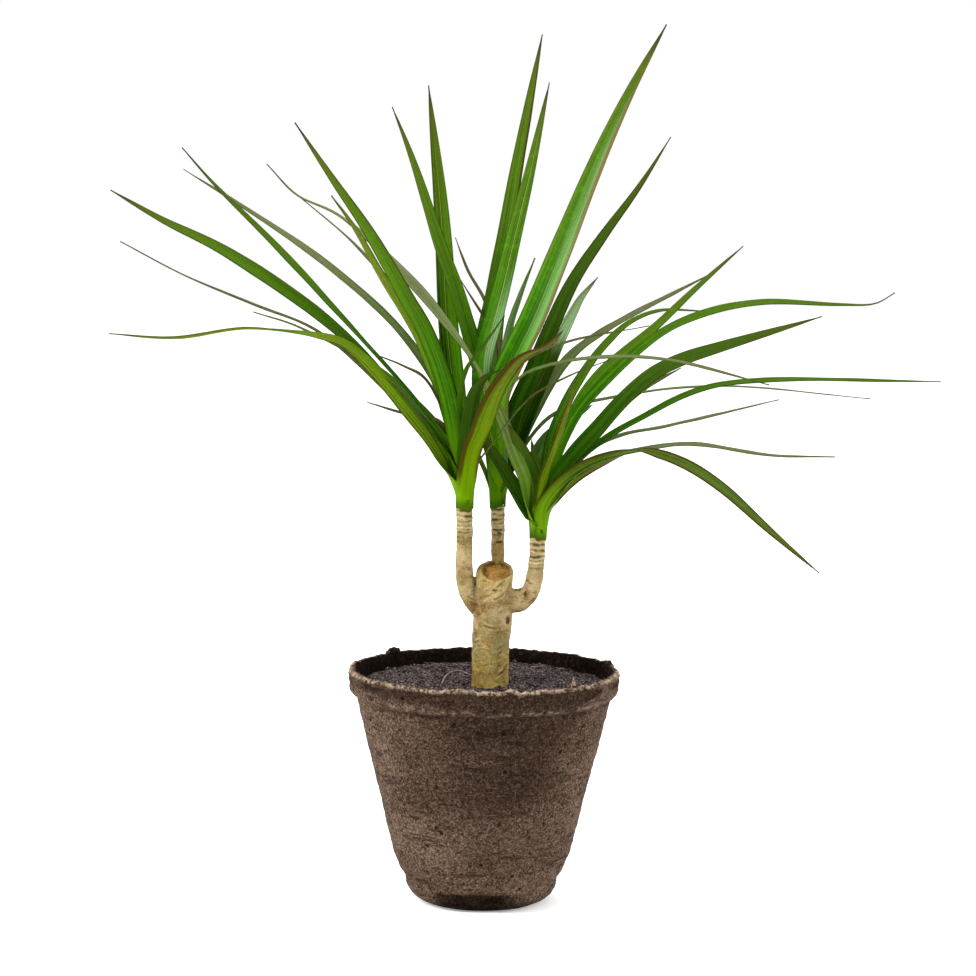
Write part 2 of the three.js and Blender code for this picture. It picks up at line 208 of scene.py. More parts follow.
BARK_PALE = srgb(166, 146, 104)
BARK_BROWN = srgb(122, 100, 60)
BARK_OLIVE = srgb(156, 132, 60)
BARK_MOSS = srgb(112, 110, 74)
BARK_STAIN = srgb(104, 76, 34)
BARK_WRINKLE = srgb(76, 52, 22)
BARK_FLECK = srgb(78, 54, 24)
BARK_FLAKE = srgb(214, 198, 154)
CALLUS_LIGHT = srgb(162, 114, 54)
CALLUS_DARK = srgb(88, 56, 24)
RIDGE_PALE = srgb(206, 194, 140)
SCAR_OLIVE = srgb(50, 44, 16)
SCAR_DARK = srgb(22, 18, 6)
WOUND_AND_SHADE_DARK = srgb(52, 26, 12)


def moulded_fibre():
    """Felted pulp with a fine grain, creases and pits, pale on the torn lip, with painted shade and
    highlight.
    """
    finish = Finish("moulded_fibre", roughness=0.95, specular=0.03)
    place = finish.place()
    mottle = finish.noise(place, 60, detail=4)
    felt = finish.noise(place, 480, detail=4, roughness=0.7)
    grain = finish.noise(place, 1050, detail=3, roughness=0.8)
    creases = finish.noise(finish.place((0.14, 0.14, 1)), 360, detail=4, distortion=0.6)
    crease = creases.step(0.55, 0.63) * finish.noise(place, 30).step(0.4, 0.56)
    pit_size = finish.cells(place, 190, output=1)
    pits = finish.cells(place, 190).step(0.24, 0.12) * pit_size.step(0.55, 0.75)
    lip = finish.attribute("lip")
    shade_and_mottle = finish.attribute("shade_and_mottle")
    lit_share = 1.0 - shade_and_mottle * 0.75
    finish.colour(
        finish.blend(mottle.step(0.32, 0.7), PULP_DARK, PULP_LIGHT),
        # Painted shade high on the front and on and under the rim band, over random dark clouds; the light
        # felt and grain are weakened under it.
        (shade_and_mottle * 0.9, PULP_SHADE),
        (felt.step(0.5, 0.66) * lit_share * 0.5, FELT_LIGHT),
        (felt.step(0.48, 0.35) * 0.75, FELT_DARK),
        (grain.step(0.52, 0.62) * lit_share * 0.5, GRAIN_LIGHT),
        (grain.step(0.48, 0.38) * 0.85, GRAIN_DARK),
        # Painted shade in the creases and pits.
        (crease * 0.6, CREASE_SHADE),
        (pits * 0.85, PIT_SHADE),
        # The pale torn lip, and a painted highlight on the fold under the rim band.
        (lip * felt.step(0.4, 0.56) * 0.95, LIP_PALE_AND_HIGHLIGHT),
        (lip * grain.step(0.47, 0.38) * 0.8, LIP_GRAIN),
        # Darkened inside the pot, painted shade in the notches, and the dark of the rim curls.
        (finish.attribute("darkened_and_shaded") * 0.95, finish.blend(felt.step(0.5, 0.68), DARKENED_SHADED_PULP, DARKENED_SHADED_FELT)),
    )
    finish.bump(mottle * 0.4 + felt * 0.8 + grain * 0.3 - pits * 0.8 - crease * 0.6, 0.8)
    return finish.material


def potting_soil():
    """Dark clods with pale grit, and near-black painted shade in the gaps between the grains."""
    finish = Finish("potting_soil", roughness=0.97, specular=0.15)
    place = finish.place()
    clods = finish.noise(place, 160, detail=5, roughness=0.65)
    grains = finish.noise(place, 1000, detail=3, roughness=0.7)
    finish.colour(
        finish.blend(clods.step(0.35, 0.68), SOIL_DARK, SOIL_LIGHT),
        (grains.step(0.52, 0.64) * 0.8, SOIL_GRIT),
        # Painted shade in the gaps between the grains.
        (grains.step(0.48, 0.38) * 0.9, SOIL_GAP_SHADE),
    )
    finish.bump(clods * 0.6 + grains * 0.6, 1.0)
    return finish.material


def dry_strand(name, light, dark):
    """The finish of a loose fibre or a thread of root."""
    finish = Finish(name, roughness=0.8, specular=0.3)
    shade = finish.noise(finish.place(), 400, detail=2)
    finish.colour(finish.blend(shade.step(0.35, 0.65), light, dark))
    finish.bump(shade, 0.05)
    return finish.material


def cane_bark():
    """Pale brown bark, olive where it is old, with stains, wrinkles, leaf scars, callus, wounds and painted
    shade.
    """
    finish = Finish("cane_bark", roughness=0.8, specular=0.08)
    place = finish.place()
    patches = finish.noise(place, 120, detail=4)
    moss = finish.noise(place, 70, detail=3)
    flecks = finish.noise(finish.place((1, 1, 1.4)), 900, detail=3, roughness=0.75)
    stains = finish.noise(finish.place((1, 1, 0.7), (0.3, 0.1, 0)), 105, detail=4, distortion=0.8)
    wrinkles = finish.noise(finish.place((0.35, 0.35, 1), (0.1, 0.15, 0)), 420, detail=3, distortion=0.9)
    olive = finish.attribute("olive")
    callus = finish.blend((flecks * 0.4 + stains * 0.6).step(0.42, 0.56), CALLUS_LIGHT, CALLUS_DARK)
    finish.colour(
        finish.blend(patches.step(0.36, 0.66), BARK_PALE, BARK_BROWN),
        (olive * 0.8, BARK_OLIVE),
        (moss.step(0.46, 0.64) * (0.3 + olive * 0.4), BARK_MOSS),
        (stains.step(0.53, 0.66) * (0.35 + olive * 0.4), BARK_STAIN),
        (wrinkles.step(0.55, 0.64) * 0.6, BARK_WRINKLE),
        (flecks.step(0.53, 0.68) * 0.5, BARK_FLECK),
        (flecks.step(0.46, 0.32) * 0.4, BARK_FLAKE),
        (finish.attribute("callus") * 0.85, callus),
        (finish.attribute("ridge") * 0.5, RIDGE_PALE),
        (finish.attribute("scar") * 0.9, finish.blend(flecks.step(0.4, 0.6), SCAR_OLIVE, SCAR_DARK)),
        # Dark healed wounds, with painted shade under the callus rim and in the crease of the left shoot.
        (finish.attribute("wound_and_shade") * 0.85, WOUND_AND_SHADE_DARK),
    )
    finish.bump(patches * 0.6 + flecks * 0.6 - wrinkles * 0.5, 0.6)
    return finish.material


class Green:
    """The colours of one kind of leaf: both faces, streaks, margin, towards the tip, and at the base."""

    def __init__(self, upper, lower, streak, margin=(48, 30, 8), aged=(66, 78, 24), base=(92, 134, 2)):
        self.upper = srgb(*upper)
        self.lower = srgb(*lower)
        self.streak = srgb(*streak)
        self.margin = srgb(*margin)
        self.aged = srgb(*aged)
        self.base = srgb(*base)


GREENS = {
    "deep": Green((18, 54, 1), (30, 66, 6), (50, 94, 4), aged=(56, 76, 18), base=(56, 96, 2)),
    "mid": Green((32, 80, 1), (42, 86, 6), (72, 128, 8), aged=(70, 92, 20), base=(76, 118, 2)),
    "bright": Green((34, 96, 1), (44, 102, 6), (92, 164, 26), margin=(116, 84, 52), aged=(66, 90, 24)),
    "lime": Green((76, 116, 1), (70, 108, 6), (122, 152, 24), aged=(88, 98, 30)),
    "olive": Green((84, 118, 1), (72, 102, 2), (112, 138, 2), margin=(54, 28, 4), aged=(78, 82, 24)),
    "dusk": Green((72, 90, 10), (60, 84, 14), (104, 118, 30), margin=(58, 32, 8), aged=(60, 86, 32)),
    "fading": Green((80, 104, 36), (82, 102, 44), (118, 138, 78), aged=(112, 114, 84)),
    "sage": Green((66, 92, 30), (86, 108, 56), (112, 130, 78), aged=(98, 100, 68)),
    "straw": Green((76, 82, 30), (84, 90, 42), (116, 112, 66), margin=(56, 42, 20), aged=(78, 68, 48)),
}
DEEP_SHADE = srgb(9, 28, 2)
TIP_OLIVE = srgb(74, 66, 22)
TIP_SHADE = srgb(52, 46, 32)
PAINTED_SHEEN = srgb(152, 188, 132)
RIB_PALE = srgb(176, 182, 84)
EDGE_ROOT = srgb(100, 136, 20)


def leaf_face(kind, side):
    """One leaf face: lengthwise streaks, painted light, shade and sheen, midrib, pale base, margin, browned
    tip.
    """
    green = GREENS[kind]
    finish = Finish(f"leaf_{kind}_{side}", roughness=0.5, specular=0.008)
    across, along = finish.blade_place()
    own = finish.attribute("own")
    tone = finish.attribute("tone")
    from_midrib = abs(across - 0.5)
    broad = finish.noise(finish.place((9, 1.2, 1), source="UV"), 1.0, detail=2, shift=own)
    fine = finish.noise(finish.place((38, 2.2, 1), source="UV"), 1.0, detail=3, roughness=0.65, shift=own)
    mottle = finish.noise(finish.place(), 260, detail=3)
    aged = (along + broad * 0.6).step(0.5, 1.05)
    # A painted sheen on the leaf.
    sheen = finish.attribute("pale") * (0.15 + fine.step(0.42, 0.56) * 0.85)
    midrib = from_midrib.step(0.022, 0.0) * finish.attribute("rib")
    base = along.step(0.24, 0.03) * (0.5 + fine * 0.4)
    reach = from_midrib + finish.attribute("blush") * 0.28 + (fine - 0.5) * 0.16
    reach = reach + along.step(0.45, 1.0) * 0.09
    margin = reach.step(0.48, 0.66) * along.step(0.04, 0.14)
    rim = from_midrib.step(0.462, 0.49) * along.step(0.06, 0.16)
    finish.colour(
        green.upper if side == "upper" else green.lower,
        # Painted shade on dark leaves and painted light on light ones, and on one half of the fold.
        (tone.step(0.45, 0.0) * 0.75, DEEP_SHADE),
        (tone.step(0.5, 1.0) * 0.75, green.streak),
        (broad.step(0.5, 0.66) * 0.55, green.streak),
        (broad.step(0.5, 0.34) * 0.55, DEEP_SHADE),
        (aged * 0.8, green.aged),
        (fine.step(0.51, 0.64) * 0.5, green.streak),
        (fine.step(0.48, 0.35) * 0.6, DEEP_SHADE),
        (mottle.step(0.5, 0.7) * 0.2, green.streak),
        # Painted sheen.
        (sheen, PAINTED_SHEEN),
        (midrib, RIB_PALE),
        (base, green.base),
        (along.step(0.03, 0.005) * 0.55, DEEP_SHADE),
        (margin * 0.85, green.margin),
        (rim * 0.55, DEEP_SHADE),
        ((along + fine * 0.3).step(0.86, 1.2) * 0.6, TIP_OLIVE),
        ((along + fine * 0.06).step(0.94, 1.02) * 0.8, TIP_SHADE),
    )
    finish.bump(fine * 0.6 + broad + from_midrib.step(0.03, 0.0) * 0.8, 0.14)
    return finish.material


def leaf_edge(kind):
    """The thin edge all round a leaf."""
    green = GREENS[kind]
    finish = Finish(f"leaf_{kind}_edge", roughness=0.6, specular=0.04)
    _, along = finish.blade_place()
    shade = finish.noise(finish.place(), 300, detail=2)
    finish.colour(
        green.upper,
        (shade.step(0.35, 0.65) * 0.6, DEEP_SHADE),
        (finish.attribute("blush") * 0.8, green.margin),
        (along.step(0.14, 0.03), EDGE_ROOT),
    )
    finish.bump(shade, 0.03)
    return finish.material


# ---------------------------------------------------------------- piece tools


def add_piece(name, mesh, materials, replaced=()):
    """Puts a finished mesh in the scene as a piece of the object."""
    for material in materials:
        mesh.materials.append(material)
    mesh.shade_smooth()
    piece = bpy.data.objects.new(name, mesh)
    bpy.context.scene.collection.objects.link(piece)
    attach(piece, "root")
    if replaced:
        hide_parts(*replaced)
    return piece


def to_mesh(bm, name):
    mesh = bpy.data.meshes.new(name)
    bm.to_mesh(mesh)
    bm.free()
    return mesh


def set_attribute(mesh, name, values):
    layer = mesh.attributes.new(name, "FLOAT", "POINT")
    layer.data.foreach_set("value", values)


def smoothstep(low, high, value):
    share = min(max((value - low) / (high - low), 0.0), 1.0)
    return share * share * (3 - 2 * share)


def mix(first, second, share):
    return first + (second - first) * share


def degrees_round(x, y):
    """Which way a spot lies round the upright axis, in degrees from +X."""
    return math.degrees(math.atan2(y, x)) % 360


def degrees_apart(first, second):
    """The turn from the second direction to the first, from -180 to 180."""
    return (first - second + 180) % 360 - 180


def hump(value, centre, width):
    """A soft bump, 1 at the centre and near 0 beyond twice the width."""
    return math.exp(-((value - centre) / width) ** 2)


class Route:
    """A smooth line through points in millimetres, measured along its own length from 0 to 1."""

    STEPS = 160
    LOOK = 0.01

    def __init__(self, points):
        points = [Vector(point) * MM for point in points]
        before = points[0] * 2 - points[1]
        after = points[-1] * 2 - points[-2]
        knots = [before, *points, after]
        spans = len(points) - 1
        self.places = [self.between(knots, step / self.STEPS * spans) for step in range(self.STEPS + 1)]
        self.lengths = [0.0]
        for start, end in zip(self.places, self.places[1:]):
            self.lengths.append(self.lengths[-1] + (end - start).length)

    @staticmethod
    def between(knots, position):
        """A place on the curve, counted in spans between knots. It doesn't overshoot where they crowd."""
        first = min(int(position), len(knots) - 4)
        t = position - first
        a, b, c, d = knots[first:first + 4]
        ab, bc, cd = (math.sqrt(max((q - p).length, 1e-6)) for p, q in ((a, b), (b, c), (c, d)))
        leave = ((b - a) / ab - (c - a) / (ab + bc) + (c - b) / bc) * bc
        arrive = ((c - b) / bc - (d - b) / (bc + cd) + (d - c) / cd) * bc
        return (b + leave * t + (3 * (c - b) - 2 * leave - arrive) * t ** 2
                + (2 * (b - c) + leave + arrive) * t ** 3)

    def at(self, share):
        """The place at a share of the whole length."""
        wanted = share * self.lengths[-1]
        low, high = 0, len(self.lengths) - 1
        while high - low > 1:
            middle = (low + high) // 2
            if self.lengths[middle] <= wanted:
                low = middle
            else:
                high = middle
        gap = self.lengths[high] - self.lengths[low]
        return self.places[low].lerp(self.places[high], (wanted - self.lengths[low]) / gap)

    def heading(self, share):
        before = self.at(max(share - self.LOOK, 0.0))
        after = self.at(min(share + self.LOOK, 1.0))
        return (after - before).normalized()


def add_tube(bm, centres, radii, sides):
    """A closed round tube, extruded ring by ring along the given centres."""
    last = len(centres) - 1
    headings = [(centres[min(i + 1, last)] - centres[max(i - 1, 0)]).normalized() for i in range(last + 1)]
    start = Matrix.Translation(centres[0]) @ headings[0].to_track_quat("Z", "Y").to_matrix().to_4x4()
    ring = bmesh.ops.create_circle(bm, segments=sides, radius=radii[0], matrix=start)["verts"]
    first_edges = list({edge for vert in ring for edge in vert.link_edges})
    edges = first_edges
    for i in range(1, last + 1):
        grown = bmesh.ops.extrude_edge_only(bm, edges=edges)["geom"]
        edges = [part for part in grown if isinstance(part, bmesh.types.BMEdge)]
        turn = headings[i - 1].rotation_difference(headings[i]).to_matrix()
        for vert in (part for part in grown if isinstance(part, bmesh.types.BMVert)):
            spoke = turn @ (vert.co - centres[i - 1])
            vert.co = centres[i] + spoke * (radii[i] / radii[i - 1])
    bmesh.ops.contextual_create(bm, geom=first_edges)
    bmesh.ops.contextual_create(bm, geom=edges)


# ---------------------------------------------------------------- pot

POT_HEIGHT = 112
RIM_RADIUS = 65
FOOT_RADIUS = 36.5
FOOT_FLAT_RADIUS = 24
FOOT_ROUNDING = 11
FOOT_ARC_STEPS = 8
POT_WALL = 3.5
POT_FLOOR = 4
# The flat notches low on the foot, at the front and the back.
NOTCH_HEIGHT = 9.8
NOTCH_DEPTH = 7
POT_SEGMENTS = 370
POT_ROW_MM = 1.1
# Ragged places on the rim: degrees round from +X, width in degrees, height in millimetres.
RIM_LUMPS = ((171, 4, 0.9), (14, 3, 1.2), (22, 2, 0.8), (262, 8, 0.9), (268, 2, -1.0), (281, 3, 1.0),
             (286, 2, -0.9), (296, 2, 0.8), (330, 3, 0.6), (248, 3, -0.7))

# Half sections of the pot, from the foot up outside and from the rim down inside: radius and height.
OUTSIDE = [
    (FOOT_RADIUS, 12), (37.8, 13.6), (39.6, 16.4), (42.5, 24), (47.6, 45), (55.4, 76), (60.4, 97),
    (60.6, 98.6), (62.6, 100.4), (64.0, 102), (64.4, 103.4), (64.2, 105), (64.8, 107), (64.4, 108.6),
    (64.9, 110), (64.4, 111.4), (63.2, POT_HEIGHT),
]
INSIDE = [
    (61.6, POT_HEIGHT - 0.2), (60.6, 110.6), (59.4, 108), (57.5, 102), (39, 24),
    (FOOT_RADIUS - POT_WALL, 12), (FOOT_RADIUS - POT_WALL, 8.5), (28, POT_FLOOR), (0, POT_FLOOR),
]


def rounded_foot():
    """Half section of the flat underside and the rounded edge round it."""
    points = [(0, 0)]
    for step in range(FOOT_ARC_STEPS + 1):
        angle = step / FOOT_ARC_STEPS * math.pi / 2
        reach = (FOOT_RADIUS - FOOT_FLAT_RADIUS) * math.sin(angle)
        points.append((FOOT_FLAT_RADIUS + reach, FOOT_ROUNDING * (1 - math.cos(angle))))
    return points


def outer_radius(z):
    """The radius of the pot's outside at a height."""
    if z < FOOT_ROUNDING:
        rise = math.sqrt(max(1 - (1 - z / FOOT_ROUNDING) ** 2, 0.0))
        return mix(FOOT_FLAT_RADIUS, FOOT_RADIUS, rise)
    for (r0, z0), (r1, z1) in zip(OUTSIDE, OUTSIDE[1:]):
        if z0 <= z <= z1:
            return mix(r0, r1, (z - z0) / (z1 - z0))
    return FOOT_RADIUS if z < OUTSIDE[0][1] else RIM_RADIUS


def in_fine_steps(outline, step):
    """The same outline, with points about one step apart."""
    fine = [outline[0]]
    for (r0, z0), (r1, z1) in zip(outline, outline[1:]):
        count = max(1, round(math.hypot(r1 - r0, z1 - z0) / step))
        for part in range(1, count + 1):
            fine.append((mix(r0, r1, part / count), mix(z0, z1, part / count)))
    return fine


def turned_shell(outline, segments):
    """A half section spun once round the upright axis."""
    bm = bmesh.new()
    verts = [bm.verts.new((r * MM, 0, z * MM)) for r, z in outline]
    edges = [bm.edges.new(pair) for pair in zip(verts, verts[1:])]
    bmesh.ops.spin(bm, geom=verts + edges, axis=(0, 0, 1), angle=FULL_TURN, steps=segments, use_merge=True)
    bmesh.ops.remove_doubles(bm, verts=bm.verts, dist=0.01 * MM)
    bmesh.ops.recalc_face_normals(bm, faces=bm.faces)
    return bm


def rim_height(degrees):
    """How far the torn rim stands above or below the pot's height."""
    spot = Vector((math.cos(math.radians(degrees)), math.sin(math.radians(degrees)), 0))
    height = 0.6 * noise.noise(spot * 12) + 0.5 * noise.noise(spot * 31) - 0.1
    for place, width, tall in RIM_LUMPS:
        height += tall * hump(degrees_apart(degrees, place), 0, width / 1.6)
    return height


def on_inside(x, y, z):
    """Whether a spot belongs to the inner face of the pot's wall."""
    return z > POT_FLOOR - 1 and math.hypot(x, y) < outer_radius(z) - POT_WALL / 2 - 0.6


def notch_wall(x, z, growth):
    """How far from the middle the flat wall of a foot notch stands, grown by the wall for the inside."""
    ceiling = NOTCH_HEIGHT + growth + 0.5 * noise.noise(Vector((x * 0.1, 5, 1)))
    cut = (NOTCH_DEPTH + growth) * smoothstep(ceiling + 0.9, ceiling - 1.1, z)
    return FOOT_RADIUS + 0.3 - cut + 0.3 * noise.noise(Vector((x * 0.25, z * 0.3, 9)))


def shape_pot(vert):
    """Moulded-fibre unevenness, the ragged lip, and the flat notches low on the foot."""
    x, y, z = vert.co / MM
    radius = math.hypot(x, y)
    if radius < 1:  # The two poles stay on the axis.
        return
    outward = Vector((x / radius, y / radius, 0))
    inside = on_inside(x, y, z)
    lumps = noise.noise(vert.co * 70) * 0.3 + noise.noise(vert.co * 300) * 0.22
    lumps += noise.noise(Vector((x * 0.09, y * 0.09, z * 0.35))) * 0.25
    if z < 0.5:  # The underside stays flat to stand on.
        lumps = 0.0
    radius += -0.5 * lumps if inside else lumps
    lip = smoothstep(POT_HEIGHT - 5, POT_HEIGHT, z)
    spot = outward * 26
    radius += lip * 0.7 * noise.noise(spot + Vector((0, 0, 3)))
    z += lip * rim_height(degrees_round(x, y))
    place = outward * radius
    growth = POT_WALL if inside else 0.0
    if z < NOTCH_HEIGHT + growth + 1:
        wall = notch_wall(x, z, growth)
        place.y = max(-wall, min(wall, place.y))
    vert.co = Vector((place.x, place.y, z)) * MM


def lip_and_highlight_share(x, y, z, radius, ragged):
    """How much a spot belongs to the pale torn lip, or to the painted highlight on the fold under the rim
    band.
    """
    edge = POT_HEIGHT + rim_height(degrees_round(x, y))
    lip = smoothstep(edge - 1.5, edge - 0.3, z + ragged) * smoothstep(62.6, 63.6, radius + ragged)
    torn = smoothstep(-0.2, 0.25, noise.noise(Vector((x * 0.3, y * 0.3, 8))))
    fold_z = 100.9 + 0.9 * noise.noise(Vector((x * 0.07, y * 0.07, 3)))
    # The fold under the rim band gets a painted highlight.
    return max(lip, 0.28 * torn * hump(z, fold_z, 1.0))


def darkened_inside_share(z, radius, ragged, inside):
    """The inside of the pot is darkened, up to the middle of the lip."""
    if inside or (z > POT_HEIGHT - 3 and radius < 63.2):
        return smoothstep(63.0, 62.0, radius + ragged)
    return 0.0


def notch_shade_share(x, y, z, ragged):
    """Painted shade in the notches, with a ragged edge that slants off on the right, darker low down."""
    if z >= NOTCH_HEIGHT + 1:
        return 0.0
    facing = smoothstep(17, 24, abs(y))
    ragged_x = x + 2.5 * noise.noise(Vector((x * 0.2, z * 0.2, 6)))
    side = smoothstep(-24, -17, ragged_x) * smoothstep(36, 12, ragged_x + 0.9 * z)
    deep = smoothstep(NOTCH_HEIGHT + 0.8, NOTCH_HEIGHT - 1.6, z + 1.2 * ragged)
    return facing * side * deep * (0.85 + 0.15 * smoothstep(NOTCH_HEIGHT - 2, 2, z))


def shade_and_mottle_share(x, y, z):
    """Painted shade, darkest high on the front and on and under the rim band, over random dark clouds."""
    cloud = noise.noise(Vector((x * 0.03, y * 0.03, z * 0.045)))
    under = 0.75 + 0.8 * noise.noise(Vector((x * 0.08, y * 0.08, 4)))
    shadow = under * (1.2 * hump(z, 107.6, 2.2) + 0.9 * hump(z, 98.3, 1.3))
    # Painted shade, strongest high on the front.
    front = hump(degrees_apart(degrees_round(x, y), 278), 0, 48)
    high = mix(0.5, 1.3, smoothstep(30, 105, z)) * front
    return min(max(high + 0.45 * cloud + shadow, 0.0), 1.0)


def paint_pot(mesh):
    shares = {"lip": [], "darkened_and_shaded": [], "shade_and_mottle": []}
    for vert in mesh.vertices:
        x, y, z = vert.co / MM
        radius = math.hypot(x, y)
        on_notch = z < NOTCH_HEIGHT + 1 and abs(y) > FOOT_RADIUS - NOTCH_DEPTH - POT_WALL / 2
        inside = on_inside(x, y, z) and not on_notch
        ragged = 0.8 * noise.noise(Vector((x * 0.5, y * 0.5, 2)))
        ragged += 0.5 * noise.noise(Vector((x, y, 2)) * 0.15)
        # Painted shade in the notches.
        notch = 0.0 if inside else notch_shade_share(x, y, z, ragged)
        shares["lip"].append(lip_and_highlight_share(x, y, z, radius, ragged))
        shares["darkened_and_shaded"].append(max(darkened_inside_share(z, radius, ragged, inside), notch))
        shares["shade_and_mottle"].append(shade_and_mottle_share(x, y, z))
    for name, values in shares.items():
        set_attribute(mesh, name, values)


def add_pot(material):
    outline = in_fine_steps(rounded_foot() + OUTSIDE + INSIDE, POT_ROW_MM)
    bm = turned_shell(outline, POT_SEGMENTS)
    for vert in bm.verts:
        shape_pot(vert)
    mesh = to_mesh(bm, "fibre_pot")
    paint_pot(mesh)
    add_piece("fibre_pot", mesh, [material], replaced=["pot"])


FIBRE_COUNT = 300
FUZZ_COUNT = 170


def add_strand(bm, points, radius):
    """A three-sided hair that thins at both ends."""
    centres = [Vector(point) * MM for point in points]
    radii = [radius * MM * share for share in (0.6, *[1.0] * (len(points) - 2), 0.4)]
    add_tube(bm, centres, radii, 3)


def lay_wall_fibre(bm, draw):
    """A loose fibre that lies slantwise on the pot's wall."""
    angle = draw.uniform(0, FULL_TURN)
    z = draw.uniform(20, 97)
    length = draw.uniform(2, 6)
    slope = draw.uniform(0, math.pi)
    bend = draw.uniform(-0.6, 0.6)
    points = []
    for step in range(4):
        run = (step / 3 - 0.5) * length
        up = z + run * math.sin(slope + bend * step / 3)
        around = angle + run * math.cos(slope + bend * step / 3) / outer_radius(up)
        radius = outer_radius(up) + draw.uniform(0.1, 0.4)
        points.append((radius * math.cos(around), radius * math.sin(around), up))
    add_strand(bm, points, draw.uniform(0.05, 0.09))


def stand_lip_fuzz(bm, draw):
    """A short hair of pulp that stands up from the torn lip."""
    angle = draw.uniform(0, FULL_TURN)
    start = POT_HEIGHT + rim_height(math.degrees(angle)) - 0.6
    lean = draw.uniform(-0.03, 0.03)
    tall = draw.uniform(0.6, 1.5)
    radius = draw.uniform(61.5, 64)
    points = []
    for step in range(3):
        around = angle + lean * step
        out = radius + draw.uniform(-0.3, 0.5) * step
        points.append((out * math.cos(around), out * math.sin(around), start + tall * step / 2))
    add_strand(bm, points, draw.uniform(0.05, 0.1))


def add_fibres(material):
    draw = random.Random(11)
    bm = bmesh.new()
    for _ in range(FIBRE_COUNT):
        lay_wall_fibre(bm, draw)
    for _ in range(FUZZ_COUNT):
        stand_lip_fuzz(bm, draw)
    add_piece("pot_fibres", to_mesh(bm, "pot_fibres"), [material])


# Curled crumbs of fibre on the rim: degrees round, radius, size along, across and up, lift, how dark.
CURLS = (
    (135.5, 62.6, (3.7, 1.9, 1.5), 0.9, 0.9),
    (139, 62.8, (1.4, 1.1, 0.8), 0.3, 0.3),
    (15, 62.5, (1.7, 1.3, 1.4), 0.7, 0.8),
    (19, 62.8, (2.0, 1.1, 0.9), 0.5, 0.4),
)


def rim_spot(degrees, radius, height):
    angle = math.radians(degrees)
    return Vector((radius * math.cos(angle), radius * math.sin(angle), height))


FLAP_DEGREES = 311
FLAP_FOOT_RADIUS = 63
FLAP_HEIGHT = 5.6
FLAP_HALF_WIDTH = 2.4
FLAP_TIP_HALF_WIDTH = 0.2
FLAP_THICKNESS = 0.35


def add_torn_flap(material):
    """The small torn tab of fibre that stands up from the front right of the lip, curled and leaning."""
    bm = bmesh.new()
    bmesh.ops.create_grid(bm, x_segments=8, y_segments=10, size=1.0)
    outward = rim_spot(FLAP_DEGREES, 1, 0)
    along_rim = Vector((-outward.y, outward.x, 0))
    foot = rim_spot(FLAP_DEGREES, FLAP_FOOT_RADIUS, POT_HEIGHT - 1)
    for vert in bm.verts:
        across = vert.co.x
        up = (vert.co.y + 1) / 2
        half = mix(FLAP_HALF_WIDTH, FLAP_TIP_HALF_WIDTH, up ** 0.8)
        crumple = 0.35 * noise.noise(Vector((across * 2, up * 3, 4)))
        curl = 0.9 * up * up + crumple + 0.5 * across * across
        rise = Vector((0, 0, FLAP_HEIGHT * up))
        vert.co = (foot + along_rim * (across * half - 1.1 * up) + outward * curl + rise) * MM
    bmesh.ops.solidify(bm, geom=list(bm.faces), thickness=FLAP_THICKNESS * MM)
    bmesh.ops.recalc_face_normals(bm, faces=bm.faces)
    mesh = to_mesh(bm, "torn_flap")
    set_attribute(mesh, "lip", [0.55] * len(mesh.vertices))
    add_piece("torn_flap", mesh, [material])


def add_rim_curls(material):
    for index, (degrees, radius, size, lift, dark) in enumerate(CURLS):
        bm = bmesh.new()
        bmesh.ops.create_icosphere(bm, subdivisions=4, radius=1.0)
        centre = rim_spot(degrees, radius, POT_HEIGHT + lift)
        turn = Matrix.Rotation(math.radians(degrees + 90), 3, "Z")
        for vert in bm.verts:
            bulge = 1 + 0.28 * noise.noise(vert.co * 1.9 + Vector((index * 5, 0, 0)))
            corner = Vector((vert.co.x * size[0], vert.co.y * size[1], vert.co.z * size[2])) * bulge
            vert.co = (centre + turn @ corner) * MM
        mesh = to_mesh(bm, f"rim_curl_{index + 1}")
        set_attribute(mesh, "lip", [0.5 * (1 - dark)] * len(mesh.vertices))
        set_attribute(mesh, "darkened_and_shaded", [dark] * len(mesh.vertices))
        add_piece(f"rim_curl_{index + 1}", mesh, [material])


# ---------------------------------------------------------------- soil

SOIL_LEVEL = 105.3
SOIL_EDGE = 58
# The soil keeps clear of the inside of the two foot notches.
SOIL_NOTCH = FOOT_RADIUS - NOTCH_DEPTH - POT_WALL - 0.4
# Half section of the bed's buried side: radius and height.
SOIL_SIDE = [(SOIL_EDGE, SOIL_LEVEL - 6), (39, 24), (32.7, 12), (28, 4.4), (0, 4.4)]
SOIL_SEGMENTS = 220
SOIL_ROWS = 60
CRUMB_COUNT = 1100
BIG_CRUMB_EVERY = 14
# The thread of root that arches over the soil, left of the cane.
ROOT_THREAD = ((-20, -4, 105.2), (-18.5, 2, 107.4), (-15.5, 9, 108.6), (-11, 13, 108.3), (-6.5, 13, 106.4))
ROOT_THREAD_RADIUS = 0.17
ROOT_THREAD_STEPS = 16


def soil_height(x, y):
    """The bed is uneven, and falls away a little in front of the cane."""
    place = Vector((x, y, 0))
    fall = 2.0 * smoothstep(2, -22, y)
    rise = 1.1 * noise.noise(place * 0.05) + 0.8 * noise.noise(place * 0.16) + 0.5 * noise.noise(place * 0.5)
    return SOIL_LEVEL - 0.5 + 0.01 * y - fall + rise + 0.3 * noise.noise(place * 1.3)


def add_soil(material):
    top = [(SOIL_EDGE * step / SOIL_ROWS, SOIL_LEVEL) for step in range(SOIL_ROWS + 1)]
    bm = turned_shell(top + SOIL_SIDE, SOIL_SEGMENTS)
    for vert in bm.verts:
        x, y, z = vert.co / MM
        if z > SOIL_LEVEL - 1:
            vert.co.z = soil_height(x, y) * MM
        elif z < NOTCH_HEIGHT + POT_WALL:
            vert.co.y = max(-SOIL_NOTCH, min(SOIL_NOTCH, y)) * MM
    add_piece("soil_bed", to_mesh(bm, "soil_bed"), [material], replaced=["soil"])


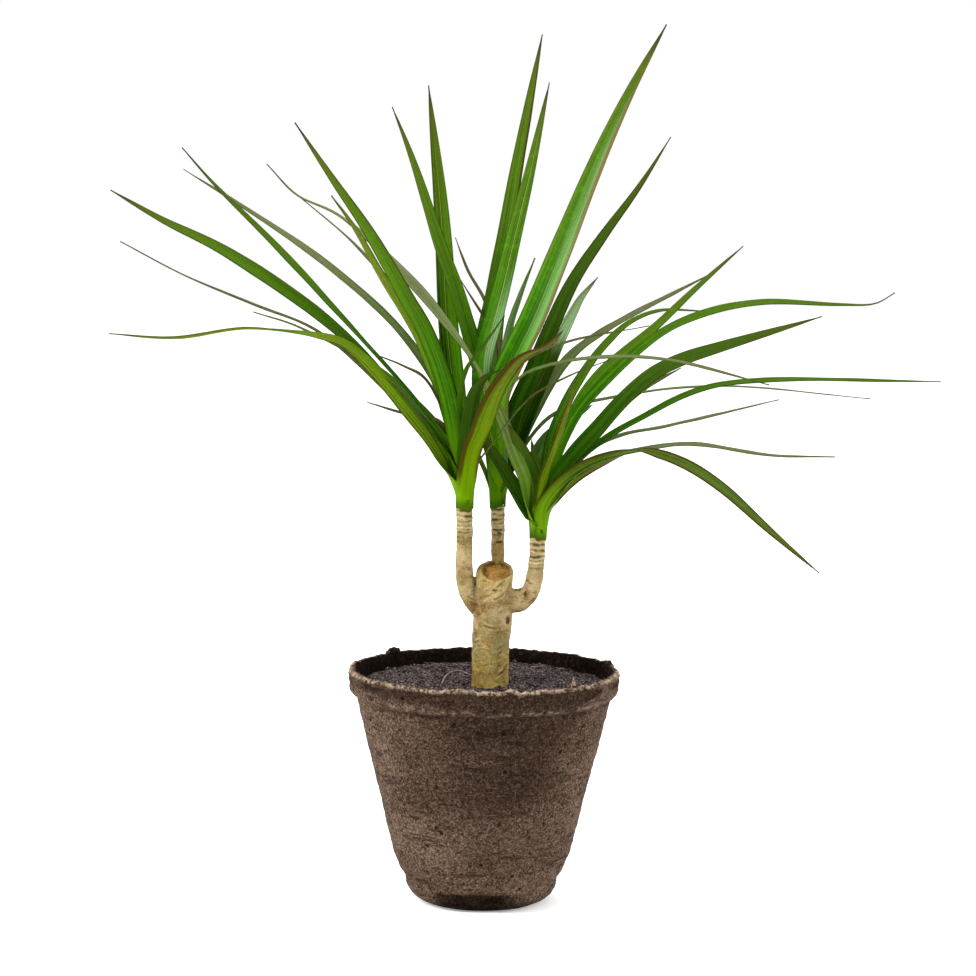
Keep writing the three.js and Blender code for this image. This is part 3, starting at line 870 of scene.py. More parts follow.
def add_crumbs(material):
    """Loose grains, and here and there a bigger crumb, strewn over the bed clear of the cane."""
    draw = random.Random(23)
    bm = bmesh.new()
    for index in range(CRUMB_COUNT):
        radius = (SOIL_EDGE - 1) * math.sqrt(draw.random())
        angle = draw.uniform(0, FULL_TURN)
        x, y = radius * math.cos(angle), radius * math.sin(angle)
        if math.hypot(x - CANE_X, y) < CANE_RADIUS + 0.6:
            continue
        size = draw.uniform(0.35, 0.9) if index % BIG_CRUMB_EVERY else draw.uniform(0.9, 1.5)
        made = bmesh.ops.create_icosphere(bm, subdivisions=1, radius=size * MM)
        stretch = Vector((draw.uniform(0.7, 1.3), draw.uniform(0.7, 1.3), draw.uniform(0.5, 0.9)))
        turn = Matrix.Rotation(draw.uniform(0, FULL_TURN), 3, "Z")
        centre = Vector((x, y, soil_height(x, y) + 0.3 * size)) * MM
        for vert in made["verts"]:
            corner = Vector((a * b for a, b in zip(vert.co, stretch)))
            corner *= 1 + 0.25 * noise.noise(vert.co * 900 + centre * 300)
            vert.co = centre + turn @ corner
    add_piece("soil_crumbs", to_mesh(bm, "soil_crumbs"), [material])


def add_root_thread(material):
    bm = bmesh.new()
    route = Route(ROOT_THREAD)
    centres = [route.at(step / ROOT_THREAD_STEPS) for step in range(ROOT_THREAD_STEPS + 1)]
    add_tube(bm, centres, [ROOT_THREAD_RADIUS * MM] * len(centres), 6)
    add_piece("root_thread", to_mesh(bm, "root_thread"), [material])


# ---------------------------------------------------------------- cane

CANE_X = 3
CANE_FOOT_Z = 45
CANE_RADIUS = 8.9
LEFT_TOP = (-10.4, 0, 189.5)
CENTRE_TOP = (5.4, 11, 189)
RIGHT_TOP = (24.7, 0, 175.5)
# The trunk is cut off on a slant that leans to the front.
CUT_CENTRE = Vector((4.3, 0, 158.3))
CUT_LEAN = math.radians(27.7)
CUT_NORMAL = Vector((0, -math.sin(CUT_LEAN), math.cos(CUT_LEAN)))
CUT_SLOPE = Vector((0, math.cos(CUT_LEAN), math.sin(CUT_LEAN)))
CUT_HALF_WIDTH = 8.8
CUT_HALF_LENGTH = CUT_HALF_WIDTH / math.cos(CUT_LEAN)
CUT_REACH = 13
CANE_VOXEL = 0.4
LIMB_SIDES = 32

# Each limb: points on its middle line, and radii at even steps along it.
TRUNK = (
    ((CANE_X, 0, CANE_FOOT_Z), (CANE_X, 0, 75), (CANE_X, 0, 104), (2.9, 0, 118), (3.3, 0, 129),
     (3.7, 0, 136), (4.1, 0, 150), (4.3, 0, 170)),
    (CANE_RADIUS, CANE_RADIUS, CANE_RADIUS, CANE_RADIUS, 9.1, 9.25, 8.9, 8.8),
)
SHOOTS = (
    (((1, 0, 138), (-4.5, 0, 143.5), (-8, 0, 149), (-9.8, 0, 156), (-10.3, 0, 163), (-10.2, 0, 172),
      LEFT_TOP),
     (4.8, 4.8, 4.6, 4.3, 4, 3.9, 3.85)),
    (((5, 5, 142), (5.8, 9.5, 152), (5.8, 11, 163), CENTRE_TOP),
     (4, 3.7, 3.1, 3.4)),
    (((6, 0, 144), (13, 0, 144.7), (17, 0, 145.5), (20.6, 0, 148.2), (22.6, 0, 152.5), (23.8, 0, 158.5),
      (24.4, 0, 167), RIGHT_TOP),
     (6, 5.9, 5.6, 4.6, 4.2, 3.9, 3.8, 3.65)),
)

# Each shoot's leaf scars: its axis, top and bottom height, distance between two, degrees the first faces.
SCAR_ZONES = (
    ((-10.3, 0), 189.2, 176.0, 2.6, 285),
    ((5.6, 11), 188.8, 174.0, 2.5, 262),
    ((24.6, 0), 173.6, 159.6, 2.9, 278),
)
# Dark healed wounds on the bark: place and reach.
WOUNDS = (
    ((11.2, -5.0, 135.8), (1.3, 3, 2.4)),
    ((15.2, -3.6, 151.0), (1.8, 4, 0.8)),
    ((19.0, -3.4, 148.6), (1.0, 3, 1.9)),
    ((13.4, -4.0, 151.0), (1.2, 3, 0.7)),
    ((24.7, -3.6, 174.9), (1.6, 3, 1.3)),
    ((6.2, 7.8, 176.2), (1.6, 3, 0.8)),
    ((6.6, 7.8, 171.8), (2.4, 3, 0.7)),
    ((4.6, -8.8, 150.8), (1.5, 3, 0.7)),
)
# Thin lines across the front of the bark, as points (x, z).
BARK_TRACES = (
    ((-4.6, 137.6), (-1.5, 134.6), (3, 132.9), (9.5, 132.4), (12, 133.6)),
    ((-4.5, 125.2), (-2.2, 126.4), (1.2, 124.6), (4.6, 120.2), (5.4, 117.2)),
    ((11.8, 156.0), (11.8, 153.4), (10.3, 150.6), (6.8, 147.6), (4.4, 146.6)),
    ((-4.8, 118.5), (-3.6, 121.4), (0.4, 122.2), (3.6, 118.6), (3.4, 115.0)),
    ((6.0, 119.6), (9.0, 121.6), (11.4, 118.0)),
    ((5.2, 109.2), (8.4, 111.2), (10.8, 114.4)),
    ((0.5, 150.6), (4.2, 151.6), (8.6, 154.6)),
    ((-1.0, 146.4), (3.0, 149.2), (7.4, 150.8)),
)
TRACE_STEPS = 20


def cane_form():
    """The limbs run into one another: one skin is drawn over all of them."""
    trunk = bmesh.new()
    add_limb(trunk, *TRUNK, steps=32)
    whole = [*trunk.verts, *trunk.edges, *trunk.faces]
    cut = bmesh.ops.bisect_plane(trunk, geom=whole, plane_co=CUT_CENTRE * MM, plane_no=CUT_NORMAL,
                                 clear_outer=True)
    rim = [part for part in cut["geom_cut"] if isinstance(part, bmesh.types.BMEdge)]
    bmesh.ops.contextual_create(trunk, geom=rim)
    for points, radii in SHOOTS:
        add_limb(trunk, points, radii, steps=28)
    bmesh.ops.recalc_face_normals(trunk, faces=trunk.faces)
    rough = bpy.data.objects.new("cane_form", to_mesh(trunk, "cane_form"))
    bpy.context.scene.collection.objects.link(rough)
    skin = rough.modifiers.new("skin", "REMESH")
    skin.mode = "VOXEL"
    skin.voxel_size = CANE_VOXEL * MM
    soften = rough.modifiers.new("soften", "SMOOTH")
    soften.factor = 0.6
    soften.iterations = 5
    bpy.context.view_layer.update()
    evaluated = rough.evaluated_get(bpy.context.evaluated_depsgraph_get())
    mesh = bpy.data.meshes.new_from_object(evaluated)
    bpy.data.objects.remove(rough)
    return mesh


def add_limb(bm, points, radii, steps):
    """A closed tube along the points, whose radius runs evenly through the radii."""
    route = Route(points)
    centres = []
    widths = []
    for step in range(steps + 1):
        position = step / steps * (len(radii) - 1)
        before = min(int(position), len(radii) - 2)
        centres.append(route.places[round(step / steps * Route.STEPS)])
        widths.append(mix(radii[before], radii[before + 1], position - before) * MM)
    add_tube(bm, centres, widths, LIMB_SIDES)


def scar_zone_at(x, y, z):
    """The scarred part of a shoot that a spot is on, if any."""
    for zone in SCAR_ZONES:
        (axis_x, axis_y), top, bottom, _, _ = zone
        if bottom < z < top + 0.4 and math.hypot(x - axis_x, y - axis_y) < 6:
            return zone
    return None


def scar_rings(x, y, z):
    """How deep this spot lies in a leaf scar, and how high on the pale ridge beside one."""
    zone = scar_zone_at(x, y, z)
    if zone is None:
        return 0.0, 0.0
    (axis_x, axis_y), top, bottom, pitch, first = zone
    row = (top - z) / pitch + 0.16 * noise.noise(Vector((x * 0.4, y * 0.4, z * 0.4)))
    ring = math.floor(row)
    middle = first + 40 * math.sin(ring * 2.4) + 150 * (ring % 4 == 3)
    away = abs(degrees_apart(degrees_round(x - axis_x, y - axis_y), middle)) / 90
    height = row - ring - 0.5 + 0.2 * min(away, 1.2) ** 2
    worn = smoothstep(-0.5, 0.0, noise.noise(Vector((x * 0.35, y * 0.35, ring * 1.7))))
    fade = smoothstep(bottom - 0.5, bottom + 3, z) * (0.35 + 0.65 * worn)
    length = smoothstep(1.0, 0.45, away)
    groove = fade * length * hump(height, 0, 0.14 + 0.2 * length * worn)
    thin = fade * hump(height, 0.02, 0.08) * smoothstep(0.6, 1.0, away) * 0.55
    ridge = fade * max(hump(height, 0.34, 0.16), hump(height, -0.34, 0.16))
    return max(groove, thin), ridge


def bark_line(trace):
    """A trace's points, run into a smooth line."""
    route = Route([(x, 0, z) for x, z in trace])
    places = [route.at(step / TRACE_STEPS) for step in range(TRACE_STEPS + 1)]
    return [(place.x / MM, place.z / MM) for place in places]


def near_line(line, x, z):
    """The distance from a spot on the front of the bark to a line of points."""
    spot = Vector((x, z))
    nearest = 100.0
    for start, end in zip(line, line[1:]):
        start, end = Vector(start), Vector(end)
        run = end - start
        share = min(max((spot - start).dot(run) / run.length_squared, 0.0), 1.0)
        nearest = min(nearest, (spot - start - run * share).length)
    return nearest


def cut_relief(place, normal):
    """The callus over the cut, a raised rim round a sunk disc: its push, its brown and its shade."""
    from_cut = place - CUT_CENTRE
    if from_cut.length > CUT_REACH or normal.dot(CUT_NORMAL) < 0.3 or from_cut.dot(CUT_NORMAL) < -2.5:
        return 0.0, 0.0, 0.0
    on_centre_shoot = math.hypot(place.x - 5.7, place.y - 10.6) < 3.9 and place.z > 156
    if on_centre_shoot:
        return 0.0, 0.0, 0.0
    q = math.hypot((from_cut.x - 0.9) / CUT_HALF_WIDTH, from_cut.dot(CUT_SLOPE) / CUT_HALF_LENGTH)
    q += 0.07 * noise.noise(place * 0.3)
    facing = smoothstep(0.3, 0.85, normal.dot(CUT_NORMAL))
    left = smoothstep(2, -8, from_cut.x)
    rim = hump(q, 0.86, 0.11 + 0.04 * left)
    push = facing * ((0.9 + 0.7 * left) * rim - 1.5 * smoothstep(0.78, 0.5, q))
    callus = facing * smoothstep(0.86, 0.72, q) * (0.85 + 0.5 * noise.noise(place * 0.5))
    # Painted shade in a crescent under the top of the callus rim.
    shade = facing * hump(q, 0.74, 0.07) * smoothstep(-2, 6, from_cut.dot(CUT_SLOPE))
    return push, callus, 0.8 * shade


def wounds_at(place):
    """How dark a spot is with healed wounds, and how far it sinks in them."""
    dark = 0.0
    sink = 0.0
    for centre, reach in WOUNDS:
        away = Vector([(place[axis] - centre[axis]) / reach[axis] for axis in range(3)])
        near = hump(away.length + 0.35 * noise.noise(place * 0.9), 0, 1)
        dark = max(dark, smoothstep(0.35, 0.65, near))
        sink += 0.5 * near
    return dark, sink


def trace_at(place, lines):
    """A thin broken line on the front of the bark: its stain, the pale ridge beside it, and its push."""
    x, y, z = place
    if not (y < -2 and -7 < x < 14 and z > 106):
        return 0.0, 0.0, 0.0
    broken = smoothstep(-0.25, 0.25, noise.noise(place * 0.28))
    away = min(near_line(line, x, z) for line in lines) + 0.3 * noise.noise(place * 0.6)
    push = broken * (0.16 * hump(away, 0.75, 0.5) - 0.16 * hump(away, 0, 0.35))
    return 0.9 * broken * hump(away, 0, 0.5), 0.6 * broken * hump(away, 1.0, 0.4), push


def left_crease(x, y, z):
    """The crease where the left shoot leaves the trunk, pushed in and darkened with painted shade."""
    return hump(math.hypot(x + 4.7, y * 0.35), 0, 1.0) * smoothstep(141, 147, z) * smoothstep(158, 153, z)


def elbow_stain(place):
    """Brown stains round the elbows of the left and the right shoot."""
    x, _, z = place
    elbow = hump(math.hypot(x + 3, z - 141.5), 0, 4.5) + hump(math.hypot(x - 21.5, z - 148), 0, 3.2)
    return min(1.5 * elbow, 1.0) * smoothstep(-0.35, 0.25, noise.noise(place * 0.35))


def olive_share(place):
    """The bark is olive low on the trunk and on the stub below the cut."""
    x, _, z = place
    stub = hump(math.hypot(x - CUT_CENTRE.x, z - CUT_CENTRE.z - 1), 0, 9) * (z > 146)
    return max(smoothstep(143, 112, z + 6 * noise.noise(place * 0.15)), 0.9 * stub)


def shape_bark(mesh):
    """Pushes the bark's relief out of the plain form, and marks what colours it."""
    marks = {"scar": [], "ridge": [], "callus": [], "olive": [], "wound_and_shade": []}
    lines = [bark_line(trace) for trace in BARK_TRACES]
    normals = [normal.vector.copy() for normal in mesh.vertex_normals]
    for vert, normal in zip(mesh.vertices, normals):
        place = vert.co / MM
        groove, scar_ridge = scar_rings(*place)
        cut_push, callus, cut_shade = cut_relief(place, normal)
        wound_and_shade, sink = wounds_at(place)
        trace, trace_ridge, trace_push = trace_at(place, lines)
        crease = left_crease(*place)
        stain = max(trace, elbow_stain(place))
        push = 0.34 * noise.noise(place * 0.2) + 0.16 * noise.noise(place * 0.7)
        push += 0.25 * scar_ridge - 0.4 * groove + cut_push - sink + trace_push - 0.7 * crease
        vert.co = (place + normal * push) * MM
        marks["scar"].append(min(groove, 1.0))
        marks["ridge"].append(min(max(scar_ridge, trace_ridge), 1.0))
        marks["callus"].append(min(max(callus, 0.8 * stain), 1.0))
        marks["olive"].append(olive_share(place))
        # The wounds, with painted shade under the callus rim and in the crease.
        marks["wound_and_shade"].append(min(max(cut_shade, wound_and_shade, 0.75 * crease), 1.0))
    for name, values in marks.items():
        set_attribute(mesh, name, values)


def add_cane(material):
    mesh = cane_form()
    shape_bark(mesh)
    add_piece("bark_cane", mesh, [material], replaced=["cane"])


# ---------------------------------------------------------------- leaves

BLADE_THICKNESS = 0.42
BLADE_ROWS = 76
BLADE_COLUMNS = 12
FREE_BLADE_FROM = 0.15
CLASP_ANGLE = math.radians(100)
ROOT_WIDTH_SHARE = 0.72
WIDEST_AT = 0.35
BASE_DIP = 2.2
BLADE_MARKS = ("tone", "blush", "rib", "pale", "own")


class Leaf:
    """One leaf: width, roll about its midrib in degrees at even steps along it, kind of green, midrib.

    fold: degrees that its halves rise from the midrib. wave: how far its margins ripple. taper: the
    higher, the longer it keeps its width. tone: how light it is, partly its own tone and partly painted
    light and shade. half: how much lighter its right half is than its left, as painted light and shade on
    the two halves of the fold. blush: how broad its brown margins are, more on one side by lean. rib: how
    pale its midrib is. pale: a painted sheen, as how strong, on which half (-1 left, 1 right, 0 both),
    and from where to where along it.
    """

    def __init__(self, width, roll, kind, *midrib, fold=20, wave=0.35, taper=3.0, tone=0.5, half=0.0,
                 blush=0.12, lean=0.0, rib=0.12, pale=(0, 1, 0, 0)):
        self.width = width
        self.roll = roll
        self.kind = kind
        self.midrib = midrib
        self.fold = fold
        self.wave = wave
        self.taper = taper
        self.tone = tone
        self.half = half
        self.blush = blush
        self.lean = lean
        self.rib = rib
        self.pale = pale

    def sheen_at(self, u, s):
        """The painted sheen at a spot: u runs across from -1 to 1, and s along from 0 to 1."""
        strength, side, start, end = self.pale
        reach = smoothstep(start - 0.06, start + 0.06, s) * smoothstep(end + 0.12, end - 0.12, s)
        return strength * reach * smoothstep(-0.3, 0.3, u * side if side else 1.0)

    def roll_at(self, s):
        place = s * (len(self.roll) - 1)
        before = min(int(place), len(self.roll) - 2)
        return math.radians(mix(self.roll[before], self.roll[before + 1], place - before))


LEFT_LEAVES = (
    Leaf(11, (0, 0), "olive", (-10, -4, 192), (-9, -14, 205), (-7, -26, 218), (-3, -40, 229),
         (4, -70, 250), (14, -100, 266), (26, -135, 275), (31, -155, 282),
         fold=16, blush=1.0, lean=0.5, taper=2.2),
    Leaf(10.5, (62, 62, 60, 5, -25, -30), "lime", (-13, -3, 193), (-25, -8, 218), (-41, -14, 239),
         (-56, -21, 257), (-67, -27, 267), (-80, -33, 271), (-110, -48, 275), (-142, -58, 271),
         (-171, -66, 273), fold=24, taper=1.5, tone=0.7, half=-0.1, rib=0.9, blush=0.25, lean=-0.6),
    Leaf(10.5, (0, 0), "deep", (-10, 4, 192), (-14, 40, 218), (-19, 85, 239), (-23, 130, 256),
         (-26, 175, 261)),
    Leaf(11, (8, 20, 48, 45), "mid", (-12, 0, 193), (-20, -2, 216), (-37, -5, 236), (-72, -12, 273),
         (-121, -20, 308), (-153, -22, 324), (-176, -22, 337), tone=0.65, taper=2.6, blush=0.25),
    Leaf(3.6, (30, 30), "sage", (-9, -3, 193), (1, -32, 234), (14, -48, 254), (27, -60, 261),
         (52, -72, 266), (80, -85, 266), (123, -105, 257)),
    Leaf(5.5, (0, 5, 12, 10), "straw", (-13, 3, 192), (-25, 6, 217), (-45, 10, 239), (-81, 18, 270),
         (-113, 22, 283), (-146, 26, 296), (-178, 30, 312), taper=1.6, tone=0.2),
    Leaf(10.5, (0, 0), "deep", (-11, 4, 192), (-23, 38, 218), (-41, 75, 235), (-61, 115, 249),
         (-75, 150, 254)),
    Leaf(4, (45, 10), "straw", (-12, 3, 193), (-17, 6, 218), (-24, 10, 229), (-40, 17, 232), (-58, 20, 237)),
    Leaf(3, (40, 30), "sage", (-12, -2, 195), (-25, -8, 222), (-46, -15, 250), (-88, -26, 275),
         (-109, -30, 282)),
    Leaf(9, (0, 0), "deep", (-9, -3, 193), (-10, -12, 215), (-8.5, -18, 232), (-6, -28, 246),
         (-1, -38, 254), (5.5, -46, 258)),
    Leaf(3.4, (30, 30), "straw", (-9, -2, 193), (-1, -22, 226), (8, -38, 250), (18, -50, 263),
         (35, -64, 272), (71, -84, 281), tone=0.3),
    Leaf(8.5, (0, 12, 38, 34), "mid", (-11, 0, 193), (-15, -3, 214), (-30, -6, 235), (-61, -14, 270),
         (-99, -24, 312), (-129, -30, 342), (-142, -32, 357), taper=2.2),
    Leaf(7.5, (5, 12, 26, 16), "sage", (-11, 4, 192), (-18, 14, 230), (-39, 26, 266), (-74, 40, 298),
         (-116, 54, 326), (-151, 62, 347), taper=2.0),
    Leaf(11.5, (-25, -40), "mid", (-10, -3, 193), (-14, -8, 215), (-20.5, -16, 248), (-30, -26, 274),
         (-37.5, -34, 288), (-56, -49, 321), (-71, -58, 343), (-88, -66, 368.5),
         tone=0.55, half=0.1, blush=0.35, taper=1.6),
    Leaf(3, (40, 40), "straw", (-12, -1, 197), (-18, -6, 227), (-30, -10, 251), (-40, -13, 257),
         (-52, -16, 262)),
    Leaf(7.5, (-27, -27), "lime", (-10, -1, 194), (-17.5, -5, 226), (-27, -10, 256), (-35, -14, 274),
         (-52, -22, 302), (-62, -25, 320), (-73.5, -28, 336), taper=3.0, tone=0.4),
    Leaf(3.2, (30, 30), "straw", (-9, -1, 193), (4, -24, 224), (19, -36, 244), (34, -44, 254),
         (55, -56, 264)),
    Leaf(3.6, (20, 20), "mid", (-9, -3, 203), (-13, -20, 242), (-10, -30, 257), (-4, -38, 266),
         (7, -50, 283)),
    Leaf(12.5, (0, 0), "mid", (-12, 1, 195), (-16, 8, 240), (-20, 18, 272), (-24, 33, 327), (-31, 46, 389),
         fold=34, half=0.5, tone=0.5, taper=2.4, rib=0.7),
)

CENTRE_LEAVES = (
    Leaf(10.5, (-27, -20), "mid", (5, 11, 192), (1, 12, 240), (-6, 12, 259), (-16, 4, 292), (-23, -3, 311),
         (-37, -18, 354), (-46, -24, 377), taper=2.4),
    Leaf(3.2, (15, 10), "sage", (6, 12, 192), (13, 18, 208), (31, 28, 231), (63, 38, 240), (113, 50, 245),
         (189, 64, 239)),
    Leaf(3.8, (10, 5), "sage", (5, 14, 192), (-1, 18, 204), (-8, 22, 219), (-18, 28, 248), (-31, 34, 271),
         (-64, 44, 310), (-95, 50, 336), tone=0.4),
    Leaf(10.5, (0, 0), "deep", (6, 15, 192), (14, 50, 217), (23, 85, 239), (34, 120, 258), (41, 155, 266)),
    Leaf(7.5, (15, 10), "sage", (6, 14, 192), (20, 30, 226), (38, 48, 256), (54, 58, 269), (109, 86, 298),
         tone=0.3),
    Leaf(10.5, (0, 0), "deep", (6, 15, 192), (2, 45, 227), (2, 80, 254), (5, 115, 278), (9, 150, 292)),
    Leaf(13.5, (34, 34), "deep", (6, 14, 192), (13, 14, 230), (22.5, 18, 254), (31.5, 24, 277),
         (40.5, 32, 296), (53.5, 39, 316), (72, 46, 342), (87, 52, 366), taper=1.2, blush=0.4, tone=0.6),
    Leaf(10, (20, 30, 40, 45), "deep", (6, 16, 192), (18, 20, 230), (32.5, 30, 265), (40.5, 44, 280),
         (44.5, 51, 287), (53, 62, 297), taper=2.2, tone=0.1, pale=(0.8, 0, 0.62, 1.3)),
    Leaf(15.5, (-45, -40), "bright", (6, 9, 192), (4.5, 7, 240), (9, 5, 253), (20.5, 0, 278),
         (31.5, -10, 307),
         (51, -24, 358), (64.5, -29, 388), (79, -32, 416),
         fold=26, tone=0.75, half=-0.2, blush=0.5, lean=-0.6, pale=(0.5, -1, 0.33, 0.8), taper=2.0),
    Leaf(7.5, (-40, -40), "mid", (5, 10, 192), (6, 12, 240), (9.5, 11, 273), (14.5, 6, 290),
         (21, -6, 308), tone=0.7, taper=1.4, pale=(0.4, 0, 0.1, 1.3)),
    Leaf(5, (-20, -20), "straw", (5, 13, 192), (7, 18, 230), (5, 24, 263), (-2, 30, 285), (-11, 36, 301),
         (-17, 42, 316)),
    Leaf(5, (-10, -10), "straw", (5, 12, 192), (6, 16, 230), (3, 20, 270), (-3, 22, 279), (-14, 27, 296)),
    Leaf(12.5, (-8, -12), "mid", (5, 13, 192), (-2, 19, 237), (-1.5, 20, 263), (3.5, 25, 291),
         (7.5, 28, 315), (13.5, 33, 354), (23.5, 42, 414), fold=26, taper=3.0, blush=0.45, lean=0.5,
         tone=0.3),
    Leaf(11.5, (-12, -10), "bright", (5, 8, 192), (-1, 5, 235), (-2, 4, 259), (2.5, 0, 278.5),
         (7, -4, 297.5), (11, -10, 316.5), (17.5, -20, 346), (26, -30, 389),
         fold=32, half=-0.1, tone=0.35, pale=(0.95, -1, 0.3, 0.46), rib=0.8, taper=2.2),
)

RIGHT_LEAVES = (
    Leaf(10.5, (-50, -48, -45, -32, -8, 20, 26, 28, 28, 28, 28), "dusk", (26, -4, 179), (29, -9, 192),
         (39, -17, 205), (52.5, -26, 214), (69.5, -40, 221), (80.5, -50, 219.5), (93.5, -60, 215),
         (106.5, -68, 207), (128, -82, 189), (148.5, -92, 172.5), taper=2.0, tone=0.4, blush=0.7),
    Leaf(8, (70, 65, 8, 60, 15, 10), "fading", (24, 0, 178), (18, -6, 203), (13, -9, 215), (5, -13, 235),
         (-7, -14, 258), (-33, -8, 292), (-71, 1, 326), (-92, 5, 336), (-106, 8, 350), taper=2.0),
    Leaf(10.5, (0, 0), "deep", (26, 4, 179), (36, 40, 201), (52, 75, 218), (75, 110, 236), (100, 140, 248)),
    Leaf(6, (35, 25), "mid", (27, -2, 179), (33.5, -4, 203), (53, -9, 221.5), (71.5, -13, 233.5),
         (98.5, -21, 248), (126, -30, 253.5), (207, -46, 255.5), taper=2.2),
    Leaf(10.5, (0, 0), "deep", (25, 4, 179), (23, 40, 201), (30, 80, 214), (46, 125, 224), (55, 165, 226)),
    Leaf(5, (35, 20), "sage", (26, -3, 179), (41, -18, 206), (53, -26, 215), (71, -36, 221),
         (93, -46, 225), (128, -62, 222), (156, -76, 223), taper=2.0, tone=0.3),
    Leaf(4, (15, 15), "sage", (26, 1, 179), (33, 4, 198), (52, 10, 218), (63, 13, 223), (88, 20, 228),
         (141, 35, 240)),
    Leaf(9.5, (75, 65), "deep", (26, -3, 179), (31, -5, 200), (40.5, -10, 215), (51, -16, 228),
         (64.5, -24, 244.5), (77, -32, 256.5), (89.5, -38, 263.5), (106.5, -46, 270), (150.5, -58, 285),
         taper=2.4, tone=0.65),
    Leaf(9, (70, 50), "deep", (24, 0, 178), (16, -3, 194), (7, -5, 209), (0, -6, 220), (-5, -7, 230)),
    Leaf(8.5, (60, 40, 28), "mid", (26, -1, 179), (33, -3, 212), (42, -8, 234), (54.5, -14, 250),
         (79.5, -24, 274), (97.5, -30, 283.5), (124, -38, 290), (159.5, -48, 290), (175.5, -51, 291),
         (184, -52, 296), taper=1.9),
    Leaf(8, (48, 40), "mid", (25, 0, 179), (34.5, 0, 218), (43.5, -2, 239.5), (53.5, -3, 254),
         (78, -5, 276), (96, -6, 294), (118.5, -6, 315), taper=2.6, tone=0.35),
    Leaf(10, (-30, -30), "deep", (24, -2, 179), (22, -5, 199), (18, -8, 213), (10, -15, 230), half=0.3),
    Leaf(8, (35, 20), "mid", (25, 1, 179), (30.5, 4, 220), (37.5, 8, 238.5), (46.5, 12, 254.5),
         (57, 15, 268), (67.5, 17, 277.5), (81.5, 19, 283), (103, 24, 283), taper=2.0, tone=0.3),
    Leaf(8, (30, 30), "olive", (25, -2, 179), (27, -14, 204), (32, -26, 221), (36, -40, 237), (40, -58, 256),
         blush=0.6, taper=2.0),
    Leaf(6, (0, 0), "deep", (25, 2, 179), (24, 6, 202), (21, 12, 221)),
)

HEADS = (
    ("left", LEFT_TOP, 3.85, LEFT_LEAVES),
    ("centre", CENTRE_TOP, 3.4, CENTRE_LEAVES),
    ("right", RIGHT_TOP, 3.65, RIGHT_LEAVES),
)
SEAT_GAP = 0.3
ROOT_SPACING = 0.6
CLASP_SPACING = 0.045
BASE_OVERLAP = 1.3
CLASP_CLEARANCE = 0.28
SHEATH_INSET = 0.9
SHEATH_HEIGHT = 24
SHEATH_STEPS = 12
SHEATH_SIDES = 20


def blade_half_width(leaf, s, clasp_radius):
    """Wide where it clasps the shoot, narrower above, widest at about a third, then tapered to a point."""
    opening = math.sin(min(s / WIDEST_AT, 1) * math.pi / 2)
    share = ROOT_WIDTH_SHARE + (1 - ROOT_WIDTH_SHARE) * opening
    taper = (1 - s ** leaf.taper) ** 0.85 if s < 1 else 0.0
    free = max(leaf.width * share * taper, 0.45) / 2
    clasped = min(clasp_radius * CLASP_ANGLE, leaf.width * 0.7)
    return mix(clasped, free, smoothstep(0.0, FREE_BLADE_FROM, s))


def leaf_route(leaf, top, clasp_radius, root_z):
    """The table's midrib, with its first point moved out to where the leaf clasps the shoot."""
    axis = Vector((top[0], top[1], 0))
    outward = Vector(leaf.midrib[-1]) - Vector(leaf.midrib[0])
    outward.z = 0
    outward.normalize()
    root = axis + outward * clasp_radius + Vector((0, 0, root_z))
    rise = root + outward * 0.25 + Vector((0, 0, 6))
    return Route([root, rise, *leaf.midrib[1:]]), outward


def blade_row(leaf, route, outward, clasp_radius, s):
    """The blade at one place along it: its middle, the way it faces, the way across it, half its width."""
    along = route.heading(s)
    face = Vector((0, 0, 1)) * along.dot(outward) - outward * along.z
    face = (face - along * face.dot(along)).normalized()
    roll = leaf.roll_at(s) * smoothstep(0.0, FREE_BLADE_FROM, s)
    hand = 1 if outward.x >= 0 else -1  # Leaves that go left roll the other way round.
    face = Matrix.Rotation(roll * hand, 3, along) @ face
    return route.at(s), face, along.cross(face), blade_half_width(leaf, s, clasp_radius)


def blade_spot(leaf, row, u, s, clasp_radius, seed):
    """Where a spot of the blade lies: wrapped round the shoot at its foot, folded and rippled beyond."""
    centre, face, across, half = row
    free = smoothstep(0.02, FREE_BLADE_FROM, s)
    fold = math.radians(mix(leaf.fold, leaf.fold * 0.4, s))
    angle = u * half / clasp_radius
    clasp_side = clasp_radius * math.sin(angle)
    clasp_lift = clasp_radius * (1 - math.cos(angle))
    free_side = u * half * math.cos(fold)
    free_lift = half * math.sin(fold) * (math.sqrt(u * u + 0.01) - 0.1)
    ripple = noise.noise(Vector((u * 0.8, s * 11, seed * 7.3))) * leaf.wave * free * (0.3 + abs(u))
    side = mix(clasp_side, free_side, free)
    lift = mix(clasp_lift, free_lift, free) + ripple * (1 - s * 0.5)
    dip = Vector((0, 0, BASE_DIP * u * u * smoothstep(0.07, 0.0, s)))
    return centre + (across * side + face * lift + dip) * MM


def blade_marks(leaf, u, s, seed):
    """What colours a spot of the blade, in the order of BLADE_MARKS."""
    cloud = noise.noise(Vector((u * 0.6, s * 3.5, seed * 3.1)))
    blotch = 1 + 0.6 * noise.noise(Vector((u * 0.5, s * 4, seed * 1.7)))
    # Painted light and shade: one half of the fold lighter than the other, and leaves deep in a head darker;
    # the cloud is the leaf's own mottling.
    tone = leaf.tone + 0.3 * cloud + leaf.half * math.tanh(u * 6)
    blush = leaf.blush * blotch * (1 + leaf.lean * u)
    return tone, blush, leaf.rib, leaf.sheen_at(u, s), seed * 3.7


